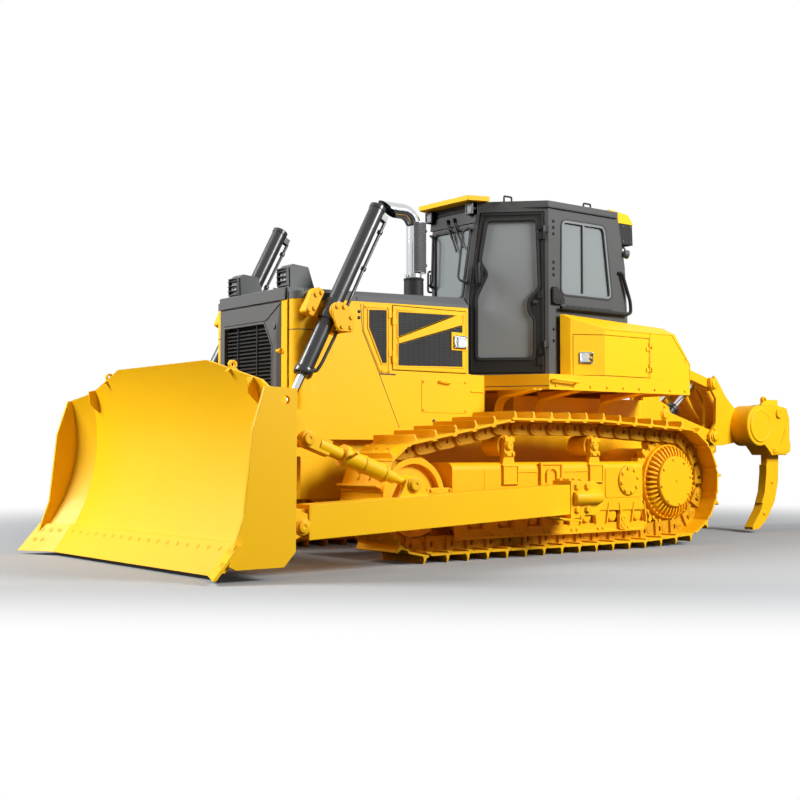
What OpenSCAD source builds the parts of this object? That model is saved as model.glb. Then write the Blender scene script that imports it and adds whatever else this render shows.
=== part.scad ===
// Crawler tractor with a semi-U dozer blade and a parallelogram ripper.
// X runs forward to the blade, Y to the operator's left, Z up from the ground. Millimetres.

/* [Tracks] */
// Chain pitch, pin to pin, that sets the tooth and bushing spacing
track_pitch = 203.2; // [180:0.1:220]
// Shoes round each loop
shoe_count = 41; // [37:1:45]
// Width of a track shoe
shoe_w = 510; // [460:10:560]
// Distance between the track centre planes
gauge = 1890; // [1850:10:1990]
// Height of the single bar on each shoe
grouser_h = 55; // [40:1:65]
// Thickness of a shoe plate
shoe_t = 18; // [12:1:24]
// Sprocket axis to idler axis
wheelbase = 2970; // [2900:10:3000]
// Fore and aft place of the sprocket axis
sprocket_x = -1280; // [-1300:5:-1260]
// Height of the sprocket axis
sprocket_z = 567; // [560:1:590]
// Teeth on the sprocket, two of them to each link
sprocket_teeth = 25; // [23:2:27]
// Rail radius of the front idler
idler_r = 300; // [285:1:310]
// Radius of a bottom roller
roller_r = 100; // [90:1:105]
// Bottom rollers under each side
roller_count = 7; // [5:1:7]
// Radius of a carrier roller
carrier_r = 85; // [75:1:95]
// Height of the carrier roller axes
carrier_z = 885; // [875:1:900]

/* [Blade] */
// Forward place of the middle cutting edge
blade_edge_x = 3584; // [3560:1:3620]
// Clearance of the edge above the ground when parked
blade_edge_z = 29; // [20:1:60]
// Width of each swept wing, square to the travel
wing_w = 318; // [280:1:360]
// Room from a push arm to the blade's end
end_room = 80; // [60:1:140]
// Depth of the blade behind its edge
blade_depth = 474; // [440:1:500]
// Forward sweep of each wing
wing_angle = 25; // [15:1:30]
// Radius of the rolled face
blade_r = 1277; // [1200:1:1400]
// Height of the top edge in the middle
blade_top_z = 1482; // [1440:1:1520]
// Height of the top edge at the ends
blade_end_z = 1264; // [1230:1:1300]
// Thickness of the rolled face
blade_t = 22; // [16:1:30]

/* [Push arms and lift] */
// Gap from the shoes to a push arm
arm_gap = 90; // [60:1:100]
// Width of a push arm
arm_w = 190; // [170:1:200]
// Depth of a push arm
arm_h = 234; // [200:1:250]
// Fore and aft place of the arm trunnion
trunnion_x = 207; // [180:1:240]
// Height of the arm trunnion
trunnion_z = 457; // [450:1:480]
// Radius of the arm trunnion pin
trunnion_r = 75; // [60:1:80]
// Sideways place of a lift cylinder
lift_y = 700; // [695:1:720]
// Radius of a lift cylinder barrel
lift_barrel_r = 62; // [50:1:66]
// Radius of a lift cylinder rod
lift_rod_r = 32; // [25:1:36]

/* [Hood and cab] */
// Half width of the hood
hood_half = 500; // [480:1:500]
// Thickness of sheet panels
sheet_t = 6; // [4:1:8]
// Height of the walking platform
deck_z = 1488; // [1470:1:1510]
// Half width of the platform and side boxes
deck_half = 1000; // [980:1:1020]
// Half width of the cab behind its doors
cab_half = 750; // [740:1:755]
// Thickness of the cab wall
cab_wall = 45; // [40:1:55]
// Height of the cab roof
roof_z = 3020; // [2990:1:3040]
// Thickness of window glass
glass_t = 6; // [5:1:8]

/* [Ripper] */
// Radius of the ripper's cross tube
tube_r = 166; // [150:1:180]
// Half length of the cross tube
tube_half = 600; // [600:1:640]
// Sideways place of a shank
shank_y = 475; // [465:1:480]
// Thickness of a shank
shank_t = 74; // [60:1:84]
// Radius of the link pins
link_pin_r = 38; // [32:1:42]
// Width of a link arm
link_w = 100; // [90:1:104]

/* [Clearances] */
// Running gap between moving faces
run_gap = 6; // [5:0.5:7]
// Gap round a pin in its bore
pin_gap = 0.5; // [0.3:0.1:1]

/* [Hidden] */
$fn = 48;
e = 0.01;
face_fn = 240;

// Track loop
pin_to_rail = 60;
pin_to_shoe = 57;
track_y = gauge / 2;
track_out = track_y + shoe_w / 2;
pin_to_tip = pin_to_shoe + shoe_t + grouser_h;
idler_x = sprocket_x + wheelbase;
idler_z = pin_to_tip + pin_to_rail + idler_r;
sprocket_pin_r = track_pitch / (2 * sin(360 / sprocket_teeth));
roller_z = pin_to_tip + pin_to_rail + roller_r;
roller_first_x = idler_x - 560;
roller_last_x = sprocket_x + 500;
roller_flange = 18;
carrier_front_x = idler_x - 935;
post_in = 104;
guard_z = 152;
carrier_rear_x = sprocket_x + 1040;
strand_in = 48;
strand_out = 92;
loop_wheels = [
    [roller_last_x, roller_z, roller_r + pin_to_rail],
    [idler_x, idler_z, idler_r + pin_to_rail],
    [carrier_front_x, carrier_z, carrier_r + pin_to_rail],
    [carrier_rear_x, carrier_z, carrier_r + pin_to_rail],
    [sprocket_x, sprocket_z, sprocket_pin_r]
];
wheel_n = len(loop_wheels);
function wrap(a) = a - 360 * floor(a / 360);
function heading(a, b) = atan2(b[1] - a[1], b[0] - a[0]);
function apart(a, b) = norm([b[0] - a[0], b[1] - a[1]]);
function line_normal(a, b) = heading(a, b) - acos((a[2] - b[2]) / apart(a, b));
function run_length(a, b) = sqrt(pow(apart(a, b), 2) - pow(a[2] - b[2], 2));
out_normal = [for (i = [0:wheel_n - 1]) line_normal(loop_wheels[i], loop_wheels[(i + 1) % wheel_n])];
in_normal = [for (i = [0:wheel_n - 1]) out_normal[(i + wheel_n - 1) % wheel_n]];
wrap_angle = [for (i = [0:wheel_n - 1]) wrap(out_normal[i] - in_normal[i])];
arc_length = [for (i = [0:wheel_n - 1]) loop_wheels[i][2] * wrap_angle[i] * PI / 180];
line_length = [for (i = [0:wheel_n - 1]) run_length(loop_wheels[i], loop_wheels[(i + 1) % wheel_n])];
function start_of(i) = i == 0 ? 0 : start_of(i - 1) + arc_length[i - 1] + line_length[i - 1];
loop_start = [for (i = [0:wheel_n]) start_of(i)];
shoe_step = loop_start[wheel_n] / shoe_count;
function unit(a) = [cos(a), sin(a)];
function wheel_at(s) = max([for (k = [0:wheel_n - 1]) if (loop_start[k] <= s) k]);
function loop_at(s) =
    let (i = wheel_at(s), w = loop_wheels[i], t = s - loop_start[i])
    t <= arc_length[i]
        ? let (a = in_normal[i] + t / w[2] * 180 / PI) [[w[0], w[1]] + w[2] * unit(a), a]
        : [[w[0], w[1]] + w[2] * unit(out_normal[i]) + (t - arc_length[i]) * unit(out_normal[i] + 90),
           out_normal[i]];
function on_shoe(p, u, h) = p[0] + h * unit(p[1]) + u * unit(p[1] + 90);
shoe_half = shoe_step / 2;
shoe_profile = [
    [-shoe_half + 4, pin_to_shoe + shoe_t],
    [-shoe_half + 20, pin_to_shoe + shoe_t],
    [-shoe_half + 29, pin_to_tip],
    [-shoe_half + 45, pin_to_tip],
    [-shoe_half + 58, pin_to_shoe + shoe_t],
    [shoe_half - 4, pin_to_shoe + shoe_t]
];
shoe_places = [for (k = [0:shoe_count - 1]) loop_at(k * shoe_step + shoe_half)];
shoe_outline = [for (p = shoe_places) for (q = shoe_profile) on_shoe(p, q[0], q[1])];
shoe_inside = [for (p = shoe_places) for (u = [-shoe_half + 4, shoe_half - 4]) on_shoe(p, u, pin_to_shoe)];
function arc_step(i) = wrap_angle[i] / max(2, ceil(wrap_angle[i] / 10));
function arc_n(i) = round(wrap_angle[i] / arc_step(i));
function wheel_pt(i, a, r) = [loop_wheels[i][0], loop_wheels[i][1]] + r * unit(a);
rail_inside = [for (i = [0:wheel_n - 1]) let (r = loop_wheels[i][2] - pin_to_rail, d = arc_step(i))
    each concat([wheel_pt(i, in_normal[i], r)],
        [for (k = [0:arc_n(i) - 1]) wheel_pt(i, in_normal[i] + (k + 0.5) * d, r / cos(d / 2))],
        [wheel_pt(i, out_normal[i], r)])];
rail_outside = [for (i = [0:wheel_n - 1]) for (k = [0:arc_n(i)])
    wheel_pt(i, in_normal[i] + k * arc_step(i), loop_wheels[i][2] + pin_to_shoe + 5)];

// Track frame
frame_in = track_y - 150;
frame_out = track_y + 150;
frame_z0 = roller_z + roller_r + roller_flange + 8;
frame_z1 = carrier_z - 135;

// Machine hull
hull_half = 400;
hull_z0 = 470;
hull_z1 = 930;
hull_top = 1060;
case_top = 1330;
hull_x0 = -1650;
hull_x1 = 2300;

// Hood
hood_front = 2340;
hood_rear = 672;
hood_low_front = 2012;
hood_low_rear = 2050;
hood_rise = 78;
guard_front = 2480;
guard_half = 600;
mask_front = 2488;
mask_half = hood_half + 2;
door_front = 1488;
door_rear = 692;
door_z0 = 1490;
door_z1 = 2020;
door_axis = 11;
function hood_low(x) = hood_low_front + (hood_front - x) * (hood_low_rear - hood_low_front) / (hood_front - hood_rear);
function hood_top_z(x) = hood_low(x) + hood_rise + (hood_front - x) * 0.008;

// Push arms
arm_in = track_out + arm_gap;
arm_out = arm_in + arm_w;
arm_mid = (arm_in + arm_out) / 2;
arm_rear = [480, 458];
blade_half = arm_out + end_room;
blade_mid_half = blade_half - wing_w;
blade_top_half = blade_half - 862;
blade_back = blade_edge_x - blade_depth;
arm_front = [blade_back - 180, 363];
strut_low = [blade_back - 1090, 600];
strut_high = [blade_back - 180, 925];
face_low = 40;
face_rise = 914;
edge_t = 24;
edge_h = 215;
blade_axis = [blade_edge_x - 56 + sqrt(pow(blade_r, 2) - pow(face_rise - face_low, 2)), blade_edge_z + face_rise];
function face_x(z) = blade_axis[0] - sqrt(pow(blade_r, 2) - pow(blade_axis[1] - z, 2));

// Lift cylinders
lift_pin = [2233, 1892];
lift_eye = [blade_back - 220, 650];
lift_dir = (lift_eye - lift_pin) / norm(lift_eye - lift_pin);
lift_cap_len = 968;
lift_gland_len = 540;
lift_rod_kept = 440;
lift_eye_len = norm(lift_eye - lift_pin);
yoke_in = guard_half;
yoke_out = 2 * lift_y - guard_half;

// Cab
cab_front = 470;
cab_front_half = 220;
door_a = [cab_front, cab_front_half];
door_b = [-40, cab_half];
door_len = norm(door_a - door_b);
door_u = (door_a - door_b) / door_len;
door_n = [-door_u[1], door_u[0]];
door_turn = atan2(door_u[1], door_u[0]);
cab_rear = -1120;
cab_top = roof_z - 60;
screen_low = 2150;
screen_lean = 70;
rear_low = 2050;
rear_lean = 190;
function door_line(x, inset) =
    let (p = door_a - inset * door_n) p[1] + (x - p[0]) * door_u[1] / door_u[0];
function door_line_x(y, inset) =
    let (p = door_a - inset * door_n) p[0] + (y - p[1]) * door_u[0] / door_u[1];
function cab_plan(inset) = [
    [cab_front - inset, -door_line(cab_front - inset, inset)],
    [cab_front - inset, door_line(cab_front - inset, inset)],
    [door_line_x(cab_half - inset, inset), cab_half - inset],
    [cab_rear + 100 - inset * 0.5, cab_half - inset],
    [cab_rear + inset, cab_half - 60 - inset],
    [cab_rear + inset, -cab_half + 60 + inset],
    [cab_rear + 100 - inset * 0.5, -cab_half + inset],
    [door_line_x(cab_half - inset, inset), -cab_half + inset]
];
cab_door_u0 = 40;
cab_door_u1 = door_len - 45;
cab_door_u2 = cab_door_u1 - screen_lean / door_u[0];
cab_door_z0 = deck_z + 30;
cab_door_z1 = cab_top - 40;
cab_door_t = 40;
hinge_u = cab_door_u0 - 4;
hinge_v = 14;

// Side boxes
box_in = cab_half + 30;
box_front = -191;
box_nose = -140;
box_corner = -474;
box_rear = -1620;
box_hinge_x = -1053;
box_skin = 15;
box_door_z0 = deck_z + 12;
box_door_z1 = deck_z + 360;
box_front_y = box_in + 80;
box_dir = [box_front - box_corner, box_front_y - deck_half] / norm([box_front - box_corner, box_front_y - deck_half]);
box_nrm = [-box_dir[1], box_dir[0]];
box_tip = [box_front, box_front_y] - 26 * box_dir;
function box_face(inset) = [
    [box_hinge_x + 3, deck_half - inset],
    [box_corner - inset * (1 - box_nrm[1]) / box_nrm[0], deck_half - inset],
    box_tip - inset * box_nrm
];

// Ripper linkage
link_low_front = [-1992, 1202];
link_low_rear = [-2770, 992];
link_span = link_low_rear - link_low_front;
link_high_rear = [-2760, 1525];
link_high_front = link_high_rear - link_span;
link_y = 300;
link_in = link_y - link_w / 2;
link_out = link_y + link_w / 2;
ear_t = 30;
tube_at = [-3238, 1103];
ram_base = [-1830, 830];
ram_y = 130;
ram_r = 58;
ram_rod_r = 32;
ram_len = norm(link_high_rear - ram_base);
ram_dir = (link_high_rear - ram_base) / ram_len;
ram_gland = 760;
ram_rod_from = 404;
holder_half = 125;
holder_rear = 3747;

yellow = [1.0, 0.74, 0.05];
charcoal = [0.16, 0.16, 0.16];
steel = [0.32, 0.31, 0.30];
chrome = [0.8, 0.8, 0.82];
tint = [0.35, 0.4, 0.42, 0.5];

module both_sides() {
    children();
    mirror([0, 1, 0]) children();
}

// Profile in the X-Z plane, pulled from y0 to y1
module slab_y(pts, y0, y1) {
    translate([0, y1, 0]) rotate([90, 0, 0]) linear_extrude(y1 - y0) polygon(pts);
}

// Profile in the X-Y plane, pulled from z0 to z1
module slab_z(pts, z0, z1) {
    translate([0, 0, z0]) linear_extrude(z1 - z0) polygon(pts);
}

// Profile in the Y-Z plane, pulled from x0 to x1
module slab_x(pts, x0, x1) {
    translate([x0, 0, 0]) rotate([90, 0, 90]) linear_extrude(x1 - x0) polygon(pts);
}

module box(a, b) {
    translate(a) cube(b - a);
}

module shaft_y(p, r, y0, y1, facets = 48) {
    translate([p[0], y1, p[1]]) rotate([90, 0, 0]) cylinder(h = y1 - y0, r = r, $fn = facets);
}

// Round bar in the X-Z plane, along dir from a to b measured from p
module bar_xz(p, dir, y, a, b, r) {
    translate([p[0] + a * dir[0], y, p[1] + a * dir[1]])
        rotate([0, atan2(dir[0], dir[1]), 0])
            cylinder(h = b - a, r = r);
}

// Hinge knuckles on a Z axis: the fixed one carries the pin of the moving one below it
module knuckle_fixed(h, r) {
    translate([0, 0, h + run_gap]) cylinder(h = h, r = r);
    cylinder(h = h + run_gap + 1, r = r * 0.5);
}

module knuckle_moving(h, r) {
    difference() {
        children();
        translate([0, 0, -1]) cylinder(h = h + 2, r = r * 0.5 + pin_gap);
    }
}

// Tracks

module track(side) {
    color(yellow) translate([0, side * track_y, 0]) {
        difference() {
            slab_y(shoe_outline, -shoe_w / 2, shoe_w / 2);
            slab_y(shoe_inside, -shoe_w / 2 - 1, shoe_w / 2 + 1);
        }
        for (y = [-strand_out, strand_in]) {
            difference() {
                slab_y(rail_outside, y, y + strand_out - strand_in);
                slab_y(rail_inside, y - 1, y + strand_out - strand_in + 1);
            }
        }
    }
}

module track_left() {
    track(1);
}

module track_right() {
    track(-1);
}

tooth_gap = 360 / sprocket_teeth;
tooth_root_r = sprocket_pin_r - 34;
tooth_tip_r = sprocket_pin_r + 12;
tooth_outline = [for (k = [0:sprocket_teeth - 1]) for (q = [[-0.28, tooth_root_r], [-0.13, tooth_tip_r],
    [0.13, tooth_tip_r], [0.28, tooth_root_r]]) q[1] * unit((k + q[0]) * tooth_gap)];
sprocket_half = strand_in - 8;

module sprocket() {
    translate([sprocket_x, 0, sprocket_z]) {
        slab_y(tooth_outline, -sprocket_half, sprocket_half);
    }
    shaft_y([sprocket_x, sprocket_z], 330, sprocket_half - e, sprocket_half + 22);
    shaft_y([sprocket_x, sprocket_z], 250, sprocket_half, sprocket_half + 60);
    shaft_y([sprocket_x, sprocket_z], 228, sprocket_half, 155);
}

module sprockets() {
    color(yellow) both_sides() translate([0, track_y, 0]) sprocket();
}

module idler() {
    difference() {
        union() {
            shaft_y([idler_x, idler_z], idler_r - pin_gap, -strand_out, strand_out);
            shaft_y([idler_x, idler_z], idler_r + 22, -strand_in + 8, strand_in - 8);
        }
        for (y = [[-strand_out - 1, -28], [28, strand_out + 1]]) {
            difference() {
                shaft_y([idler_x, idler_z], idler_r - 46, y[0], y[1]);
                shaft_y([idler_x, idler_z], 84, y[0], y[1]);
            }
        }
    }
    shaft_y([idler_x, idler_z], 42, -100, 100);
}

module idlers() {
    color(yellow) both_sides() translate([0, track_y, 0]) idler();
}

module roller_set() {
    roller_gap = (roller_first_x - roller_last_x) / (roller_count - 1);
    for (k = [0:roller_count - 1]) {
        p = [roller_last_x + k * roller_gap, roller_z];
        shaft_y(p, roller_r, -strand_out - 6, strand_out + 6);
        shaft_y(p, roller_r + roller_flange, strand_out + 6, strand_out + 22);
        shaft_y(p, roller_r + roller_flange, -strand_out - 22, -strand_out - 6);
        shaft_y(p, 38, -130, 130);
    }
    for (x = [carrier_front_x, carrier_rear_x]) {
        shaft_y([x, carrier_z], carrier_r, -strand_out - 6, strand_out + 6);
        shaft_y([x, carrier_z], 34, -strand_out - 20, post_in);
    }
}

module rollers_left() {
    color(yellow) translate([0, track_y, 0]) roller_set();
}

module rollers_right() {
    color(yellow) mirror([0, 1, 0]) translate([0, track_y, 0]) roller_set();
}

frame_rear_x = sprocket_x + 440;
frame_front_x = idler_x - 330;
frame_round = 60;
pivot_x = -650;
pivot_z = 590;

module track_frame() {
    guard_gap = (roller_first_x - roller_last_x) / (roller_count - 1);
    // Closed box with a rounded top
    box([frame_rear_x, frame_in, frame_z0], [frame_front_x, frame_out, frame_z1 - frame_round]);
    box([frame_rear_x, frame_in + frame_round, frame_z0], [frame_front_x, frame_out - frame_round, frame_z1]);
    for (y = [frame_in + frame_round, frame_out - frame_round]) {
        translate([frame_rear_x, y, frame_z1 - frame_round]) rotate([0, 90, 0])
            cylinder(h = frame_front_x - frame_rear_x, r = frame_round);
    }
    // Roller guards: a low rail hung on V-shaped ribs, open at each roller
    for (y = [frame_in, frame_out - 20]) {
        difference() {
            slab_y([[frame_rear_x, frame_z0 + 20], [frame_rear_x - 60, guard_z + 60], [frame_rear_x, guard_z],
                [frame_front_x - 40, guard_z], [frame_front_x, frame_z0 + 20]], y, y + 20);
            for (k = [0:roller_count - 1]) {
                x = roller_last_x + k * guard_gap;
                slab_y([[x - 88, guard_z + 78], [x + 88, guard_z + 78], [x + 60, frame_z0 - 14], [x - 60, frame_z0 - 14]],
                    y - 1, y + 21);
            }
        }
    }
    box([frame_rear_x, frame_out - e, guard_z], [frame_front_x - 60, frame_out + 18, guard_z + 18]);
    // Cover of the pivot shaft
    shaft_y([pivot_x, pivot_z], 130, frame_out - e, frame_out + 14);
    // Idler yoke and recoil cover
    for (y = [track_y - 130, track_y + 100]) {
        box([frame_front_x - 40, y, idler_z - 70], [idler_x, y + 30, idler_z + 70]);
        shaft_y([idler_x, idler_z], 84, y, y + 30);
    }
    box([frame_front_x - 40, track_y - 130, idler_z - 70], [frame_front_x, track_y + 130, idler_z + 70]);
    // Carrier roller brackets, standing outside the rollers
    for (x = [carrier_front_x, carrier_rear_x]) {
        slab_y([[x - 78, frame_z1 - 60], [x - 48, carrier_z - 60], [x - 48, carrier_z + 58], [x + 48, carrier_z + 58],
            [x + 48, carrier_z - 60], [x + 78, frame_z1 - 60]], track_y + post_in, frame_out - 10);
        box([x - 85, frame_out - 40, frame_z1 - 180], [x + 85, frame_out + 14, frame_z1 - 20]);
    }
    // Arm trunnion
    shaft_y([trunnion_x, trunnion_z], trunnion_r + 45, frame_out - 20, track_out - 10);
    shaft_y([trunnion_x, trunnion_z], trunnion_r, track_out - 20, arm_out - 36);
}

module track_frame_left() {
    color(yellow) track_frame();
}

module track_frame_right() {
    color(yellow) mirror([0, 1, 0]) track_frame();
}

// Hull and engine

bar_x = 1250;

module main_frame() {
    color(yellow) {
        difference() {
            union() {
                box([hull_x0, -hull_half, hull_z0], [hull_x1, hull_half, hull_z1]);
                box([hood_rear, -hood_half, hull_z1 - e], [hull_x1, hood_half, hull_top]);
                box([hull_x0, -hull_half, hull_z1 - e], [50, hull_half, case_top]);
                box([50 - e, -hull_half, hull_z1 - e], [hood_rear, hull_half, hull_top]);
            }
            box([900, -hull_half + 30, 600], [2250, hull_half - 30, hull_top + 1]);
        }
        for (x = [1050, 1850]) {
            box([x, -hull_half + 30 - e, 600 - e], [x + 90, hull_half - 30 + e, 820]);
        }
        both_sides() {
            shaft_y([sprocket_x, sprocket_z], 300, hull_half - e, track_y - sprocket_half - 120);
            shaft_y([sprocket_x, sprocket_z], 250, hull_half - e, track_y - sprocket_half);
            shaft_y([pivot_x, pivot_z], 95, hull_half - e, frame_in);
            box([bar_x - 60, hull_half - e, 530], [bar_x + 60, frame_in, 650]);
        }
    }
}

module engine_block() {
    color(steel) box([960, -310, 820], [2040, 310, 1880]);
}

// Hood

module radiator_guard() {
    corner = 70;
    color(yellow) {
        both_sides() {
            box([hood_front, mask_half, 1150 - e], [guard_front - corner, guard_half, 2050]);
            box([hood_front, mask_half, 1150 - e], [guard_front, guard_half - corner, 2050]);
            intersection() {
                translate([guard_front - corner, guard_half - corner, 1150 - e]) cylinder(h = 900 + e, r = corner);
                box([hood_front, mask_half, 1100], [guard_front + 1, guard_half + 1, 2100]);
            }
            box([2130, hood_half, 1750], [hood_front + e, guard_half, 2020]);
        }
        box([hull_x1, -guard_half, 800], [guard_front, guard_half, 1150]);
    }
}

grille_hole = [[-427, 1200], [278, 1200], [278, 1655], [168, 1830], [-427, 1830]];

module front_mask() {
    color(charcoal) {
        difference() {
            box([guard_front - 40, -mask_half, 1150], [mask_front, mask_half, 2087]);
            slab_x(grille_hole, guard_front - 50, mask_front + 10);
        }
        box([hood_front, -mask_half, 2040], [guard_front - 40 + e, mask_half, 2087]);
    }
}

module radiator_grille() {
    bars = 9;
    color(charcoal) {
        difference() {
            box([guard_front - 64, -mask_half, 1150], [guard_front - 40, mask_half, 1900]);
            for (k = [0:bars - 1]) {
                box([guard_front - 50, -400, 1215 + k * 70], [guard_front - 39, 250, 1255 + k * 70]);
            }
        }
    }
}

module hood_shell(inset) {
    chamfer = 45;
    intersection() {
        slab_y([[hood_rear - (inset > 0 ? 1 : 0), hood_low(hood_rear) - (inset > 0 ? 1 : 0)],
            [hood_rear - (inset > 0 ? 1 : 0), hood_top_z(hood_rear) - inset],
            [hood_front + (inset > 0 ? 1 : 0), hood_top_z(hood_front) - inset],
            [hood_front + (inset > 0 ? 1 : 0), hood_low(hood_front) - (inset > 0 ? 1 : 0)]],
            -hood_half + inset, hood_half - inset);
        slab_x([[-hood_half + inset, 1900], [hood_half - inset, 1900], [hood_half - inset, 2070 - inset],
            [hood_half - inset - chamfer * 1.6, 2160 - inset], [-hood_half + inset + chamfer * 1.6, 2160 - inset],
            [-hood_half + inset, 2070 - inset]], hood_rear - 5, hood_front + 5);
    }
}

module hood_top() {
    color(charcoal) difference() {
        hood_shell(0);
        hood_shell(sheet_t);
    }
}

module hood_side() {
    difference() {
        slab_y([[hood_rear, hull_top], [hull_x1, hull_top], [hull_x1, 1150], [hood_front, 1150], [hood_front, hood_low(hood_front)],
            [hood_rear, hood_low(hood_rear)]], hood_half - sheet_t, hood_half);
        box([door_rear, hood_half - 20, door_z0], [door_front, hood_half + 20, door_z1]);
    }
    // Fixed halves of the door hinges
    for (z = [door_z0 + 60, door_z1 - 160]) {
        box([door_front + 2, hood_half - e, z + 46 + run_gap], [door_front + 40, hood_half + door_axis, z + 92 + run_gap]);
        translate([door_front, hood_half + door_axis, z]) knuckle_fixed(46, 8);
    }
}

module hood_sides() {
    color(yellow) both_sides() hood_side();
}

module engine_door() {
    box([door_rear + run_gap, hood_half - sheet_t, door_z0 + run_gap],
        [door_front - run_gap, hood_half, door_z1 - run_gap]);
    for (z = [door_z0 + 60, door_z1 - 160]) {
        translate([door_front, hood_half + door_axis, z]) knuckle_moving(46, 8) {
            box([-46, -door_axis - e, 0], [-2, 0, 46]);
            cylinder(h = 46, r = 8);
        }
    }
    box([door_rear + 20, hood_half - e, 1700], [door_rear + 70, hood_half + 22, 1800]);
}

module engine_door_left() {
    color(yellow) engine_door();
}

module engine_door_right() {
    color(yellow) mirror([0, 1, 0]) engine_door();
}

module headlamps() {
    color(charcoal) both_sides()
        slab_y([[2200, hood_top_z(2200)], [hood_front, hood_top_z(hood_front)], [hood_front + 5, 2092], [2425, 2092],
            [2431, 2250], [2400, 2275], [2260, 2262]], 290, 440);
}

module exhaust_stack() {
    pipe = [1020, 200];
    pipe_r = 64;
    bend = 130;
    bend_z = 2735;
    collar_z = hood_top_z(pipe[0] - 90);
    color(chrome) {
        translate([pipe[0], pipe[1], collar_z]) cylinder(h = 2300 - collar_z, r = 82);
        translate([pipe[0], pipe[1], 2290]) cylinder(h = bend_z - 2290, r = pipe_r);
        // Elbow, cut from a full ring
        translate([pipe[0] + bend, pipe[1], bend_z - e]) intersection() {
            rotate([90, 0, 0]) rotate_extrude() translate([bend, 0]) circle(r = pipe_r);
            slab_y([[0, 0], [-bend - 100, 0], [-bend - 100, bend + 100], [0, bend + 100]], -100, 100);
        }
        // Open mouth with a slanted cut
        difference() {
            translate([pipe[0] + bend - e, pipe[1], bend_z + bend - e]) rotate([0, 90, 0]) cylinder(h = 260, r = pipe_r);
            translate([pipe[0] + bend + 20, pipe[1], bend_z + bend - e]) rotate([0, 90, 0]) cylinder(h = 260, r = pipe_r - 6);
            slab_y([[pipe[0] + 188, bend_z + 55], [pipe[0] + 378, bend_z + 205], [pipe[0] + 500, bend_z + 205],
                [pipe[0] + 500, bend_z + 55]], 100, 300);
        }
        // Heat shield on the operator's side
        translate([pipe[0], pipe[1], 2350]) rotate([0, 0, 141.8]) {
            intersection() {
                difference() {
                    cylinder(h = 425, r = 104);
                    translate([0, 0, -1]) cylinder(h = 427, r = 100);
                }
                box([0, -120, -2], [120, 120, 430]);
            }
            for (z = [50, 345]) {
                box([pipe_r - 8, -20, z], [102, 20, z + 30]);
            }
        }
    }
}

// Cab

module door_frame_local() {
    translate([door_b[0], door_b[1], 0]) rotate([0, 0, door_turn]) children();
}

module screen_cut() {
    slab_y([[cab_front + 60, screen_low], [cab_front, screen_low], [cab_front - screen_lean, cab_top],
        [cab_front - screen_lean, roof_z + 100], [cab_front + 60, roof_z + 100]], -cab_half - 50, cab_half + 50);
}

// Leaning rear wall
module rear_cut() {
    slab_y([[cab_rear - 60, rear_low], [cab_rear, rear_low], [cab_rear + rear_lean, cab_top],
        [cab_rear + rear_lean, roof_z + 100], [cab_rear - 60, roof_z + 100]], -cab_half - 50, cab_half + 50);
}

module cab_shell() {
    difference() {
        slab_z(cab_plan(0), deck_z, cab_top);
        slab_z(cab_plan(cab_wall), deck_z + 12, cab_top + 1);
        screen_cut();
        rear_cut();
    }
    // Windscreen and rear frames, set in along their lean
    intersection() {
        slab_z(cab_plan(0), rear_low - 60, cab_top);
        union() {
            slab_y([[cab_front - cab_wall, screen_low - 40], [cab_front, screen_low],
                [cab_front - screen_lean, cab_top], [cab_front - screen_lean - cab_wall, cab_top]],
                -cab_half, cab_half);
            slab_y([[cab_rear + cab_wall, rear_low - 40], [cab_rear, rear_low], [cab_rear + rear_lean, cab_top],
                [cab_rear + rear_lean + cab_wall, cab_top]], -cab_half, cab_half);
        }
    }
    // Footwell ahead of the lower front wall
    difference() {
        slab_z(foot_plan(0), deck_z, screen_low - 10);
        slab_z(foot_plan(foot_t), deck_z + foot_t, screen_low - 10 - foot_t);
    }
}

foot_t = 12;
foot_front = hood_rear - 7;
foot_half = hood_half - 10;
function foot_plan(inset) = [
    [foot_front - inset, -foot_half + inset],
    [foot_front - inset, foot_half - inset],
    [foot_front - 10 - inset, foot_half - inset],
    [cab_front - e, cab_front_half + 3 - inset],
    [cab_front - e, -cab_front_half - 3 + inset],
    [foot_front - 10 - inset, -foot_half + inset]
];

// Outline with each corner replaced by a curve that starts r before it
function corner_curve(a, b, c, r, n) = let (p = b + r * (a - b) / norm(a - b), q = b + r * (c - b) / norm(c - b))
    [for (k = [0:n]) let (t = k / n) (1 - t) * (1 - t) * p + 2 * t * (1 - t) * b + t * t * q];
function soft_outline(pts, r, n = 4) = [for (i = [0:len(pts) - 1])
    each corner_curve(pts[(i + len(pts) - 1) % len(pts)], pts[i], pts[(i + 1) % len(pts)], r, n)];

screen_hole = soft_outline([[-cab_front_half + 35, screen_low + 30], [cab_front_half - 35, screen_low + 30],
    [cab_front_half + 28, cab_top - 160], [-cab_front_half - 28, cab_top - 160]], 50);
rear_hole = soft_outline([[-520, rear_low + 60], [520, rear_low + 60], [520, cab_top - 110], [-520, cab_top - 110]], 60);
side_hole = soft_outline([[cab_rear + 280, 2215], [cab_rear + 368, cab_top - 92], [door_b[0] - 165, cab_top - 92],
    [door_b[0] - 155, 2215]], 60);

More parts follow.
